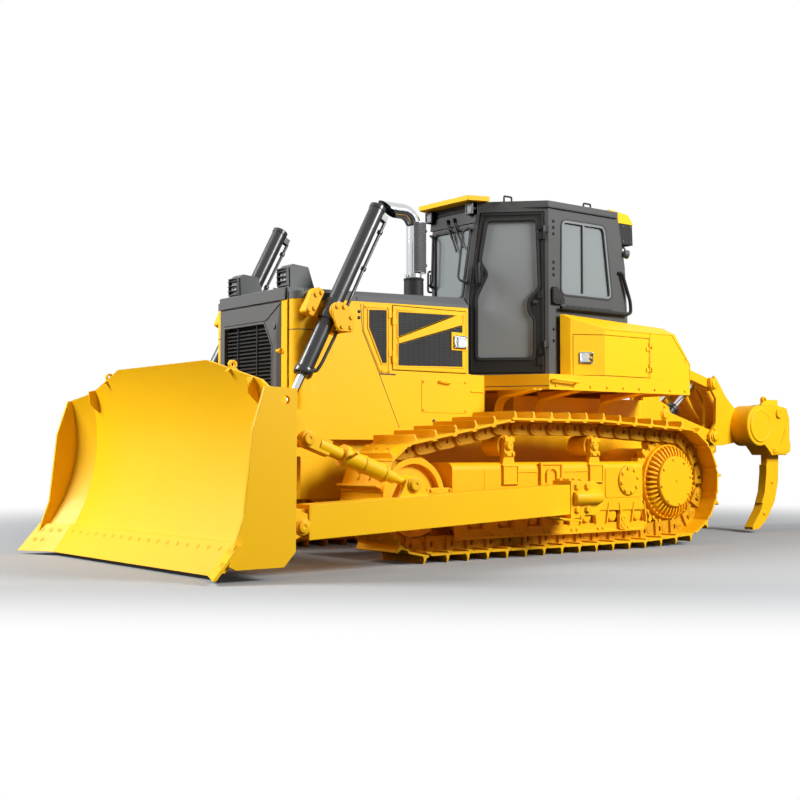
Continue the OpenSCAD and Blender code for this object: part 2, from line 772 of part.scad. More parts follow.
module cab_frame() {
    color(charcoal) {
        difference() {
            cab_shell();
            slab_x(screen_hole, cab_front - 220, cab_front + 50);
            slab_x(rear_hole, cab_rear - 10, cab_rear + rear_lean + 80);
            both_sides() {
                slab_y(side_hole, cab_half - 100, cab_half + 20);
                // Doorway
                door_frame_local() slab_y([[cab_door_u0 - run_gap, cab_door_z0 - run_gap],
                    [cab_door_u1 + run_gap, cab_door_z0 - run_gap], [cab_door_u1 + run_gap, screen_low],
                    [cab_door_u2 + run_gap, cab_door_z1 + run_gap], [cab_door_u0 - run_gap, cab_door_z1 + run_gap]],
                    -cab_wall - 60, 60);
            }
        }
        both_sides() door_frame_local() {
            for (z = [cab_door_z0 + 160, cab_door_z1 - 240]) {
                box([hinge_u - 40, -e, z + 56 + run_gap], [hinge_u - 3, hinge_v, z + 112 + run_gap]);
                translate([hinge_u, hinge_v, z]) knuckle_fixed(56, 10);
            }
        }
    }
}

// Waisted window
door_window = soft_outline([[130, cab_door_z0 + 128], [cab_door_u1 - 68, cab_door_z0 + 128], [cab_door_u1 - 68, 2185],
    [cab_door_u1 - 165, 2388], [cab_door_u1 - 100, 2500], [cab_door_u1 - 160, cab_door_z1 - 66], [108, cab_door_z1 - 66],
    [86, 2262], [182, 2150], [175, 2040], [130, 1985]], 34);

module cab_door() {
    door_frame_local() {
        difference() {
            slab_y([[cab_door_u0, cab_door_z0], [cab_door_u1, cab_door_z0], [cab_door_u1, screen_low],
                [cab_door_u2, cab_door_z1], [cab_door_u0, cab_door_z1]], -cab_door_t, 0);
            slab_y(door_window, -cab_door_t - 5, 5);
        }
        for (z = [cab_door_z0 + 160, cab_door_z1 - 240]) {
            translate([hinge_u, hinge_v, z]) knuckle_moving(56, 10) {
                box([4, -hinge_v - e, 0], [50, 0, 56]);
                cylinder(h = 56, r = 10);
            }
        }
        box([cab_door_u1 - 110, -e, 2330], [cab_door_u1 - 70, 30, 2450]);
    }
}

module cab_door_left() {
    color(charcoal) cab_door();
}

module cab_door_right() {
    color(charcoal) mirror([0, 1, 0]) cab_door();
}

module cab_door_glass() {
    door_frame_local() slab_y(door_window, -cab_door_t / 2 - glass_t, -cab_door_t / 2);
}

module cab_door_glass_left() {
    color(tint) cab_door_glass();
}

module cab_door_glass_right() {
    color(tint) mirror([0, 1, 0]) cab_door_glass();
}

module cab_glass() {
    color(tint) {
        intersection() {
            slab_x(screen_hole, cab_front - 220, cab_front + 50);
            slab_y([[cab_front - 20, screen_low], [cab_front - 20 + glass_t, screen_low],
                [cab_front - 20 + glass_t - screen_lean, cab_top], [cab_front - 20 - screen_lean, cab_top]],
                -cab_half, cab_half);
        }
        intersection() {
            slab_x(rear_hole, cab_rear - 10, cab_rear + rear_lean + 80);
            slab_y([[cab_rear + 20, rear_low], [cab_rear + 20 + glass_t, rear_low],
                [cab_rear + 20 + glass_t + rear_lean, cab_top], [cab_rear + 20 + rear_lean, cab_top]],
                -cab_half, cab_half);
        }
        both_sides() slab_y(side_hole, cab_half - 20 - glass_t, cab_half - 20);
    }
}

module cab_roof() {
    color(charcoal) {
        difference() {
            slab_z(cab_plan(0), cab_top, roof_z);
            screen_cut();
            rear_cut();
        }
        box([-830, -330, roof_z - e], [-430, 330, roof_z + 50]);
    }
}

module roof_caps() {
    rear = cab_rear + rear_lean;
    color(yellow) {
        // Visor
        slab_z([[528, -334], [528, 334], [330, 402], [330, -402]], roof_z, roof_z + 42);
        // Rear corner caps
        both_sides()
            slab_y([[rear + 100, roof_z], [rear + 100, roof_z + 16], [rear - 145, roof_z - 8], [rear - 212, cab_top - 22],
                [rear - 212, cab_top - 35], [rear - 12, cab_top - 35], [rear - 2, roof_z]], 430, cab_half - 8);
    }
}

module work_lamps() {
    rear = cab_rear + rear_lean;
    color(charcoal) both_sides() {
        box([cab_front - screen_lean + 6, 245, cab_top - 50], [cab_front - screen_lean + 24, 309, cab_top + 20]);
        translate([cab_front - screen_lean + 24 - e, 277, cab_top - 3]) rotate([0, 90, 0]) cylinder(h = 30, r = 46);
        // Lamp boxes under the rear caps
        slab_y([[rear - 14, cab_top - 36], [rear - 210, cab_top - 36], [rear - 218, cab_top - 222], [rear - 58, cab_top - 222]],
            440, cab_half - 15);
    }
}

module seat() {
    color(charcoal) {
        box([-420, -160, deck_z + 12], [-120, 160, deck_z + 300]);
        box([-470, -250, deck_z + 300 - e], [30, 250, deck_z + 430]);
        slab_y([[-470, deck_z + 400], [-340, deck_z + 400], [-430, deck_z + 1020], [-540, deck_z + 1020]], -240, 240);
    }
}

module console() {
    color(charcoal) {
        both_sides() box([-520, 290, deck_z + 12], [0, 440, deck_z + 560]);
        box([290, -180, deck_z + 12], [410, 180, deck_z + 620]);
    }
}

// Platform and side boxes

deck_front = 489;
deck_bend = 209;
deck_plan = [[deck_front, -500], [deck_front, 500], [deck_bend, deck_half], [box_rear, deck_half],
    [box_rear, -deck_half], [deck_bend, -deck_half]];

function inset_plan(d) = [[deck_front - d, -500 + d / 2], [deck_front - d, 500 - d / 2],
    [deck_bend - d / 2, deck_half - d], [box_rear + d, deck_half - d], [box_rear + d, -deck_half + d],
    [deck_bend - d / 2, -deck_half + d]];

module platform() {
    color(yellow) {
        difference() {
            slab_z(deck_plan, deck_z - 130, deck_z);
            slab_z(inset_plan(14), deck_z - 131, deck_z - 16);
        }
        for (x = [-1500, -900, -150]) {
            box([x, -deck_half + 13, deck_z - 110], [x + 60, deck_half - 13, deck_z - 16 + e]);
        }
        for (x = [-1470, -700, -150]) for (y = [-300, 240]) {
            box([x, y, case_top], [x + 60, y + 60, deck_z - 16 + e]);
        }
    }
}

module box_body() {
    intersection() {
        slab_z([[box_nose - 20, box_in], [box_nose, box_in + 6], [box_front, box_front_y], [box_corner, deck_half], [box_rear, deck_half],
            [box_rear, 430], [cab_rear - 20, 430], [cab_rear - 20, box_in]], deck_z, 2100);
        slab_y([[box_nose + 10, deck_z - 1], [box_nose + 10, box_top(box_nose + 10)], [-1360, box_top(-1360)], [box_rear - 5, 1650],
            [box_rear - 5, deck_z - 1]], 0, deck_half + 10);
        slab_x([[0, deck_z - 1], [deck_half + 5, deck_z - 1], [deck_half + 5, 1905], [box_in + 20, 2030],
            [0, 2030]], box_rear - 10, 0);
    }
}

module box_door_plan(inset, grow, z0, z1) {
    face = box_face(0);
    back = box_face(inset);
    slab_z([face[0] + [-grow, 30], face[1] + [0, 30], face[1] + 40 * box_nrm, face[2] + 40 * box_nrm + grow * box_dir,
        back[2] + grow * box_dir, back[1], back[0] + [-grow, 0]], z0, z1);
}

module tank_left() {
    color(yellow) {
        difference() {
            box_body();
            box_door_plan(box_skin + run_gap, run_gap, box_door_z0 - run_gap, box_door_z1 + run_gap);
            slab_z([[box_hinge_x + 30, box_in + 20], [box_hinge_x + 30, deck_half - 10], [box_corner - 20, deck_half - 10],
                [box_front - 110, box_front_y + 5], [box_front - 110, box_in + 20]], deck_z + 20, deck_z + 350);
        }
        for (z = [box_door_z0 + 50, box_door_z1 - 110]) {
            box([box_hinge_x - 40, deck_half - e, z + 34 + run_gap], [box_hinge_x - 2, deck_half + 8, z + 68 + run_gap]);
            translate([box_hinge_x, deck_half + 8, z]) knuckle_fixed(34, 7.5);
        }
    }
}

module tank_right() {
    color(yellow) mirror([0, 1, 0]) box_body();
}

module tank_door_left() {
    face = box_face(0);
    back = box_face(box_skin);
    color(yellow) {
        slab_z([face[0], face[1], face[2], back[2], back[1], back[0]], box_door_z0, box_door_z1);
        for (z = [box_door_z0 + 50, box_door_z1 - 110]) {
            translate([box_hinge_x, deck_half + 8, z]) knuckle_moving(34, 7.5) {
                box([4, -8 - e, 0], [40, 0, 34]);
                cylinder(h = 34, r = 7.5);
            }
        }
    }
}

rail_r = 17;
post_r = 15;

function box_top(x) = 2030 - 60 * (box_nose - 70 - x) / 1150;

module handrails() {
    rail_y = cab_half + 38;
    rail_z = 2086;
    color(charcoal) both_sides() {
        translate([cab_rear + 110, rail_y, rail_z]) rotate([0, 90, 0]) cylinder(h = 860, r = rail_r);
        for (x = [cab_rear + 160, door_b[0] - 190]) {
            translate([x, cab_half, rail_z]) rotate([-90, 0, 0]) cylinder(h = rail_y - cab_half, r = post_r);
        }
    }
}

// Blade and its arms

module blade_straight() {
    cut_y = blade_half + 700;
    difference() {
        union() {
            intersection() {
                shaft_y(blade_axis, blade_r + blade_t, -cut_y, cut_y, face_fn);
                box([blade_back - 200, -cut_y, blade_edge_z + face_low], [blade_edge_x + 40, cut_y, blade_top_z]);
            }
            // Box beams behind the face
            box([blade_back, -cut_y, 120], [blade_edge_x, cut_y, 420]);
            box([blade_back + 20, -cut_y, 1080], [blade_edge_x, cut_y, 1240]);
            // Upright ribs
            for (k = [-0.813, -0.225, 0.201, 0.789]) {
                box([blade_back + 40, k * blade_mid_half, 400], [blade_edge_x - 200, k * blade_mid_half + 30, 1100]);
            }
        }
        shaft_y(blade_axis, blade_r, -cut_y - 1, cut_y + 1, face_fn);
    }
}

module blade_zone(inner) {
    t = tan(wing_angle / 2);
    if (inner) {
        slab_z([[blade_edge_x + 600, -blade_mid_half + 600 * t], [blade_edge_x + 600, blade_mid_half - 600 * t],
            [blade_edge_x - 900, blade_mid_half + 900 * t], [blade_edge_x - 900, -blade_mid_half - 900 * t]], -100, 1700);
    } else {
        slab_z([[blade_edge_x + 600, blade_mid_half - 600 * t], [blade_edge_x + 600, blade_half - 26],
            [blade_edge_x - 900, blade_half - 26], [blade_edge_x - 900, blade_mid_half + 900 * t]], -100, 1700);
    }
}

module blade_outline() {
    slab_x([[-blade_half, -50], [blade_half, -50], [blade_half, blade_end_z - 8], [blade_half - 26, blade_end_z],
        [blade_top_half, blade_top_z], [-blade_top_half, blade_top_z], [-blade_half + 26, blade_end_z], [-blade_half, blade_end_z - 8]],
        blade_back - 300, blade_edge_x + 500);
}

module swept() {
    translate([blade_edge_x, blade_mid_half, 0]) rotate([0, 0, -wing_angle])
        translate([-blade_edge_x, -blade_mid_half, 0]) children();
}

ear_plate = 30;
eye_half = 45;

module moldboard() {
    color(yellow) {
        intersection() {
            blade_straight();
            blade_zone(true);
            blade_outline();
        }
        both_sides() {
            // Inner push arm lug
            arm_lug(arm_in, blade_back + 30);
            // Lift eye ears
            for (y = [lift_y - eye_half - run_gap - ear_plate, lift_y + eye_half + run_gap]) {
                slab_y([[blade_back + 5, 300], [blade_back + 70, 420], [blade_back + 75, 860], [blade_back - 90, 760], [lift_eye[0] - 60, 700],
                    [lift_eye[0] - 70, 620], [lift_eye[0] - 20, 570]], y, y + ear_plate);
            }
        }
    }
}

lug_t = 45;

module arm_lug(y, x1) {
    slab_y([[x1, 230], [x1, 410], [blade_back - 20, 450], [blade_back - 70, 450],
        [blade_back - 150, 420], [blade_back - 150, 300], [blade_back - 70, 260]], y, y + lug_t);
}

module blade_wings() {
    color(yellow) both_sides() {
        intersection() {
            swept() blade_straight();
            blade_zone(false);
            blade_outline();
        }
        arm_lug(arm_out - lug_t, blade_back + 90);
        // Strut lug
        slab_y([[blade_back + 70, 1090], [blade_back + 70, 1200], [blade_back - 30, 1180], [strut_high[0] - 45, 960],
            [strut_high[0] - 45, 890], [strut_high[0] + 10, 870]], arm_mid - lug_half, arm_mid + lug_half);
    }
}

end_outline = [[blade_back - 11, blade_end_z - 9], [blade_back + 237, blade_end_z - 4], [blade_back + 329, 980],
    [blade_edge_x - 84, 434], [blade_edge_x + 30, 110], [blade_edge_x - 24, 84], [blade_back + 90, 84],
    [blade_back - 2, 180]];

module end_plates() {
    color(yellow) both_sides() difference() {
        slab_y(end_outline, blade_half - 26, blade_half);
        shaft_y([blade_back + 80, blade_end_z - 89], 30, blade_half - 30, blade_half + 1);
    }
}

edge_foot = [face_x(blade_edge_z + face_low) + pin_gap, blade_edge_z + face_low];
edge_head = [face_x(blade_edge_z + edge_h) + pin_gap, blade_edge_z + edge_h];
edge_slope = (edge_foot[0] - edge_head[0]) / (edge_foot[1] - edge_head[1]);

module edge_bar(y0, y1) {
    slab_y([[edge_foot[0] - face_low * edge_slope, blade_edge_z], [edge_foot[0] - face_low * edge_slope + edge_t, blade_edge_z],
        [edge_head[0] + edge_t, edge_head[1]], edge_head], y0, y1);
}

bit_half = blade_half + 32;
bit_gap = 1;

module cutting_edge() {
    t = tan(wing_angle / 2);
    color(yellow) {
        intersection() {
            edge_bar(-blade_mid_half - 200, blade_mid_half + 200);
            blade_zone(true);
        }
        // End bits
        both_sides() difference() {
            intersection() {
                swept() edge_bar(blade_mid_half - 200, blade_mid_half + 500);
                slab_z([[blade_edge_x + 600, blade_mid_half - 600 * t + bit_gap], [blade_edge_x + 600, bit_half],
                    [blade_edge_x - 900, bit_half], [blade_edge_x - 900, blade_mid_half + 900 * t + bit_gap]], -100, 1700);
            }
            slab_y(end_outline, blade_half - 26 - pin_gap, blade_half + pin_gap);
        }
    }
}

strut_dir = (strut_high - strut_low) / norm(strut_high - strut_low);
strut_len = norm(strut_high - strut_low);
lug_half = 26;

// Plain eye at the arm, fork at the blade
module strut_ends(y) {
    shaft_y(strut_low, 62, y - 32, y + 32);
    bar_xz(strut_low, strut_dir, y, 20, 160, 30);
    for (d = [[-lug_half - 26, -lug_half], [lug_half, lug_half + 26]]) {
        shaft_y(strut_high, 60, y + d[0], y + d[1]);
        slab_y([strut_high + 52 * strut_nrm, strut_high - 52 * strut_nrm, strut_high - 52 * strut_nrm - 200 * strut_dir,
            strut_high + 52 * strut_nrm - 200 * strut_dir], y + d[0], y + d[1]);
    }
    bar_xz(strut_low, strut_dir, y, strut_len - 205, strut_len - 110, 60);
}

strut_nrm = [-strut_dir[1], strut_dir[0]];

module brace_left() {
    color(yellow) {
        strut_ends(arm_mid);
        bar_xz(strut_low, strut_dir, arm_mid, 150, strut_len - 180, 44);
        bar_xz(strut_low, strut_dir, arm_mid, 230, strut_len - 330, 62);
        bar_xz(strut_low, strut_dir, arm_mid, strut_len - 370, strut_len - 330, 78);
    }
}

module tilt_cylinder_right() {
    color(charcoal) mirror([0, 1, 0]) {
        strut_ends(arm_mid);
        bar_xz(strut_low, strut_dir, arm_mid, 150, strut_len - 180, 36);
        bar_xz(strut_low, strut_dir, arm_mid, 200, strut_len - 280, 80);
    }
}

arm_depth = arm_h / 2;

module push_arm() {
    difference() {
        union() {
            slab_y([[trunnion_x, trunnion_z - 100], [arm_rear[0], arm_rear[1] - arm_depth],
                [arm_front[0], arm_front[1] - arm_depth], [arm_front[0], arm_front[1] + arm_depth],
                [arm_rear[0], arm_rear[1] + arm_depth], [trunnion_x, trunnion_z + 100]], arm_in, arm_out);
            shaft_y([trunnion_x, trunnion_z], 130, arm_in, arm_out);
        }
        shaft_y([trunnion_x, trunnion_z], trunnion_r + pin_gap, arm_in - 1, arm_out - 30);
    }
    // Tongue between the blade lugs
    slab_y([[arm_front[0] - e, arm_front[1] - 90], [3040, arm_front[1] - 90], [3070, arm_front[1]],
        [3040, arm_front[1] + 90], [arm_front[0] - e, arm_front[1] + 90]], arm_in + lug_t, arm_out - lug_t);
    // Strut lugs
    for (y = [arm_mid - 60, arm_mid + 32]) {
        slab_y([[strut_low[0] - 150, 490], [strut_low[0] - 60, strut_low[1] + 40], [strut_low[0], strut_low[1] + 68],
            [strut_low[0] + 60, strut_low[1] + 40], [strut_low[0] + 150, 480]], y, y + 28);
    }
}

module push_arms() {
    color(yellow) both_sides() push_arm();
}

// Lift cylinders

module lift_barrel() {
    difference() {
        union() {
            bar_xz(lift_pin, lift_dir, lift_y, -lift_cap_len, lift_gland_len, lift_barrel_r);
            bar_xz(lift_pin, lift_dir, lift_y, -75, 75, lift_barrel_r + 12);
            shaft_y(lift_pin, 34, yoke_in + 2, yoke_out - 2);
        }
        bar_xz(lift_pin, lift_dir, lift_y, -lift_cap_len + 60, lift_gland_len + 1, lift_rod_r + pin_gap);
    }
}

module lift_rod() {
    bar_xz(lift_pin, lift_dir, lift_y, lift_gland_len - lift_rod_kept, lift_eye_len - 30, lift_rod_r);
    shaft_y(lift_eye, 62, lift_y - eye_half, lift_y + eye_half);
}

module lift_barrel_left() {
    color(charcoal) lift_barrel();
}

module lift_barrel_right() {
    color(charcoal) mirror([0, 1, 0]) lift_barrel();
}

module lift_rod_left() {
    color(chrome) lift_rod();
}

module lift_rod_right() {
    color(chrome) mirror([0, 1, 0]) lift_rod();
}

module lift_yokes() {
    cheek = lift_y - lift_barrel_r - 12 - yoke_in - run_gap;
    color(yellow) both_sides() difference() {
        union() {
            for (y = [yoke_in, yoke_out - cheek]) {
                shaft_y(lift_pin, 66, y, y + cheek);
                box([lift_pin[0] - 140, y, lift_pin[1] - 150], [lift_pin[0] + 10, y + cheek, lift_pin[1] - 20]);
            }
            box([lift_pin[0] - 140, yoke_in, lift_pin[1] - 150], [lift_pin[0] - 100, yoke_out, lift_pin[1] - 60]);
        }
        shaft_y(lift_pin, 34 + pin_gap, yoke_in, yoke_out + 1);
    }
}

// Ripper

module ear_pair(pts) {
    for (y = [link_in - run_gap - ear_t, link_out + run_gap]) {
        slab_y(pts, y, y + ear_t);
    }
}

module link_pins(p) {
    shaft_y(p, link_pin_r, link_in - run_gap - ear_t, link_out + run_gap + ear_t);
}

bracket_outline = [[hull_x0 - 30, 700], [hull_x0 - 30, 1360], [-1760, 1480], [-1800, 1840], [-1900, 1850],
    [-2060, 1770], [-2050, 1680], [-1930, 1600], [-1930, 1330], [-2060, 1280], [-2085, 1200], [-2030, 1110], [-1900, 700]];

module ripper_bracket() {
    color(yellow) {
        box([hull_x0 - 40, -hull_half, 560], [hull_x0, hull_half, case_top]);
        both_sides() {
            ear_pair(bracket_outline);
            link_pins(link_low_front);
            link_pins(link_high_front);
            // Ears for the ripper cylinder
            for (y = [ram_y - 62 - run_gap, ram_y + 36 + run_gap]) {
                slab_y([[hull_x0 - 30, 660], [hull_x0 - 30, 1000], [ram_base[0], ram_base[1] + 75],
                    [ram_base[0] - 70, ram_base[1]], [ram_base[0], ram_base[1] - 75]], y, y + 26);
            }
            shaft_y(ram_base, 30, ram_y - 62 - run_gap, ram_y + 62 + run_gap);
        }
    }
}

link_dir = link_span / norm(link_span);
link_up = [link_dir[1], -link_dir[0]];

module link_arm(a, half, y0, y1) {
    difference() {
        union() {
            slab_y([a - half * link_up, a + half * link_up, a + link_span + half * link_up, a + link_span - half * link_up],
                y0, y1);
            shaft_y(a, half + 22, y0, y1);
            shaft_y(a + link_span, half + 22, y0, y1);
        }
        shaft_y(a, link_pin_r + pin_gap, y0 - 1, y1 + 1);
        shaft_y(a + link_span, link_pin_r + pin_gap, y0 - 1, y1 + 1);
    }
}

module ripper_lower_link() {
    mid = link_low_front + 0.8 * link_span;
    color(yellow) {
        both_sides() link_arm(link_low_front, 55, link_in, link_out);
        shaft_y(mid, 48, -link_in - 1, link_in + 1);
    }
}

module ripper_upper_link() {
    color(yellow) both_sides() link_arm(link_high_front, 46, link_in, link_out);
}

beam_outline = [[-2700, 940], [-2690, 1010], [-2790, 1120], [-2800, 1380], [-2700, 1500], [-2710, 1580], [-2800, 1600],
    [-2960, 1400], [-3120, 1270], [-3238, 1269], [-3238, 937], [-3100, 930], [-2900, 900], [-2770, 900]];

module ripper_beam() {
    color(yellow) {
        shaft_y(tube_at, tube_r, -tube_half, tube_half);
        both_sides() {
            ear_pair(beam_outline);
            link_pins(link_low_rear);
            link_pins(link_high_rear);
            // Ears for the ripper cylinder
            for (y = [ram_y - 62 - run_gap, ram_y + 36 + run_gap]) {
                slab_y([[-2830, 1300], [-2720, 1470], [-2730, 1570], [-2810, 1590], [-2960, 1400], [-3120, 1265],
                    [-3238, 1265], [-3238, 1010], [-3100, 1010]], y, y + 26);
            }
            // Shank holders
            difference() {
                slab_y([[-3060, 1000], [-3090, 1230], [-3238, 1300], [-3480, 1330], [-3700, 1290], [-holder_rear, 1180],
                    [-holder_rear, 840], [-3680, 800], [-3440, 800], [-3330, 900]], shank_y - holder_half, shank_y + holder_half);
                box([-3670, shank_y - shank_t / 2, 700], [-3470, shank_y + shank_t / 2, 1400]);
            }
        }
    }
}

shank_outline = [[-3670, 1380], [-3470, 1380], [-3470, 620], [-3440, 420], [-3360, 250], [-3209, 60], [-3209, 34],
    [-3290, 34], [-3480, 160], [-3600, 320], [-3660, 520], [-3670, 700]];

module ripper_shanks() {
    color(yellow) both_sides() slab_y(shank_outline, shank_y - shank_t / 2, shank_y + shank_t / 2);
}

module ripper_barrels() {
    color(charcoal) both_sides() difference() {
        union() {
            bar_xz(ram_base, ram_dir, ram_y, 30, 130, 34);
            bar_xz(ram_base, ram_dir, ram_y, 105, ram_gland, ram_r);
            shaft_y(ram_base, 62, ram_y - 36, ram_y + 36);
        }
        shaft_y(ram_base, 30 + pin_gap, ram_y - 40, ram_y + 40);
        bar_xz(ram_base, ram_dir, ram_y, 128, ram_gland + 1, ram_rod_r + pin_gap);
    }
}

module ripper_rods() {
    color(chrome) both_sides() {
        bar_xz(ram_base, ram_dir, ram_y, ram_rod_from, ram_len - 20, ram_rod_r);
        shaft_y(link_high_rear, 55, ram_y - 36, ram_y + 36);
    }
}

main_frame();
engine_block();
radiator_guard();
front_mask();
radiator_grille();
hood_top();
hood_sides();
headlamps();
exhaust_stack();
cab_frame();
cab_roof();
roof_caps();
cab_glass();
work_lamps();
seat();
console();
platform();
handrails();
tank_left();
tank_right();
track_frame_left();
track_frame_right();
track_left();
track_right();
idlers();
sprockets();
rollers_left();
rollers_right();
lift_yokes();
ripper_bracket();
push_arms();
moldboard();
blade_wings();
end_plates();
cutting_edge();
brace_left();
tilt_cylinder_right();
lift_barrel_left();
lift_barrel_right();
lift_rod_left();
lift_rod_right();
ripper_lower_link();
ripper_upper_link();
ripper_beam();
ripper_shanks();
ripper_barrels();
ripper_rods();
cab_door_left();
cab_door_right();
cab_door_glass_left();
cab_door_glass_right();
engine_door_left();
engine_door_right();
tank_door_left();
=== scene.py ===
"""Looks of a crawler tractor with a semi-U blade and a ripper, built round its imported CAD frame."""

from __future__ import annotations

import logging
import math
from dataclasses import dataclass
from enum import Enum
from typing import Any, Sequence

import bpy
import numpy as np
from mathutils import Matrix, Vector


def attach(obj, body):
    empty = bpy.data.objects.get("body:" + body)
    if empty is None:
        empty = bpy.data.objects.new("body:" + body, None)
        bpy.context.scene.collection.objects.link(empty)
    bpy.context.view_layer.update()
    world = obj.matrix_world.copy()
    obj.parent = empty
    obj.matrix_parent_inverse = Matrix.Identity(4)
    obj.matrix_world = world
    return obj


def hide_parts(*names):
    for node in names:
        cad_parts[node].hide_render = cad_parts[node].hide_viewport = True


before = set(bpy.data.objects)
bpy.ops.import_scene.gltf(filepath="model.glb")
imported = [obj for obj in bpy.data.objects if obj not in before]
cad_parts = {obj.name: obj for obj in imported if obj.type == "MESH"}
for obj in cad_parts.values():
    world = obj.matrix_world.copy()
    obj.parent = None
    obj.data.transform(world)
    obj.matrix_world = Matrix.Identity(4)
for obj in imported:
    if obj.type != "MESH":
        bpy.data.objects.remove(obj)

LOG = logging.getLogger("bulldozer")
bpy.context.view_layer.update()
Array = np.ndarray
Line = Sequence[Sequence[float]]
Pair = tuple[float, float]
Triple = tuple[float, float, float]
Outline = tuple[Pair, ...]
SIDES = (("left", 1.0), ("right", -1.0))
# Directions of the frame, and its origin.
AHEAD, ACROSS, UP, ORIGIN = (1, 0, 0), (0, 1, 0), (0, 0, 1), (0, 0, 0)
# Colour inputs of Blender's mix node.
MIX_A, MIX_B = 6, 7
COAT_ROUGHNESS = 0.08
BUMP_STRENGTH = 0.6
# How far an edge turns, as a cosine, where the painted highlight on rounded edges starts and where it is strongest, and
# how strong it gets.
HIGHLIGHT_START, HIGHLIGHT_END, HIGHLIGHT_MOST = 0.97, 0.75, 0.9
# Levels of the slow noise between which roughness swings from its lowest to its highest.
SWING_LOW, SWING_HIGH = 0.3, 0.7
# Rounded edges of pieces: steps over the edge, and the least angle in degrees that is rounded.
EDGE_STEPS, EDGE_ANGLE = 2, 40
CLOTH_SHEEN = 0.35
# Pin of the lift cylinders' yokes, and the way from there along the cylinder to the blade.
LIFT_PIN = (2.233, 0.700, 1.892)
LIFT_WAY = (0.46758, 0.0, -0.88395)
# Centres of sprocket and idler, in (x, z).
SPROCKET, IDLER = (-1.280, 0.567), (1.690, 0.490)
# Top of the platform.
DECK = 1.488
# Outer face of the side boxes and the platform.
BOX_FACE = 1.000


class Plane(Enum):
    """The plane that an outline is drawn in, as the frame axes of (across, up, through)."""

    XZ = (0, 2, 1)
    YZ = (1, 2, 0)
    XY = (0, 1, 2)


class Surface(Enum):
    """How a finish takes the light."""

    SOLID = "solid"
    GLASS = "glass"
    CLOTH = "cloth"


def linear(code: str) -> tuple[float, float, float, float]:
    """Turns an sRGB hex colour into linear light.

    Args:
        code: Six hex digits, with or without a leading #.
    Returns:
        Red, green, blue and a full alpha.
    """
    part = np.array([int(code.lstrip("#")[i : i + 2], 16) / 255 for i in (0, 2, 4)])
    lit = np.where(part <= 0.04045, part / 12.92, ((part + 0.055) / 1.055) ** 2.4)
    return (float(lit[0]), float(lit[1]), float(lit[2]), 1.0)


def add(tree: Any, kind: str, settings: dict[str, Any], links: dict[str | int, Any]) -> Any:
    """Adds one node with its settings and links.

    Args:
        tree: The node tree.
        kind: Blender's node type.
        settings: Properties of the node.
        links: Input name or index to a value, or to the socket that feeds it.
    Returns:
        The node.
    """
    made = tree.nodes.new(kind)
    for key, value in settings.items():
        setattr(made, key, value)
    for key, value in links.items():
        if isinstance(value, bpy.types.NodeSocket):
            tree.links.new(value, made.inputs[key])
        else:
            made.inputs[key].default_value = value
    return made


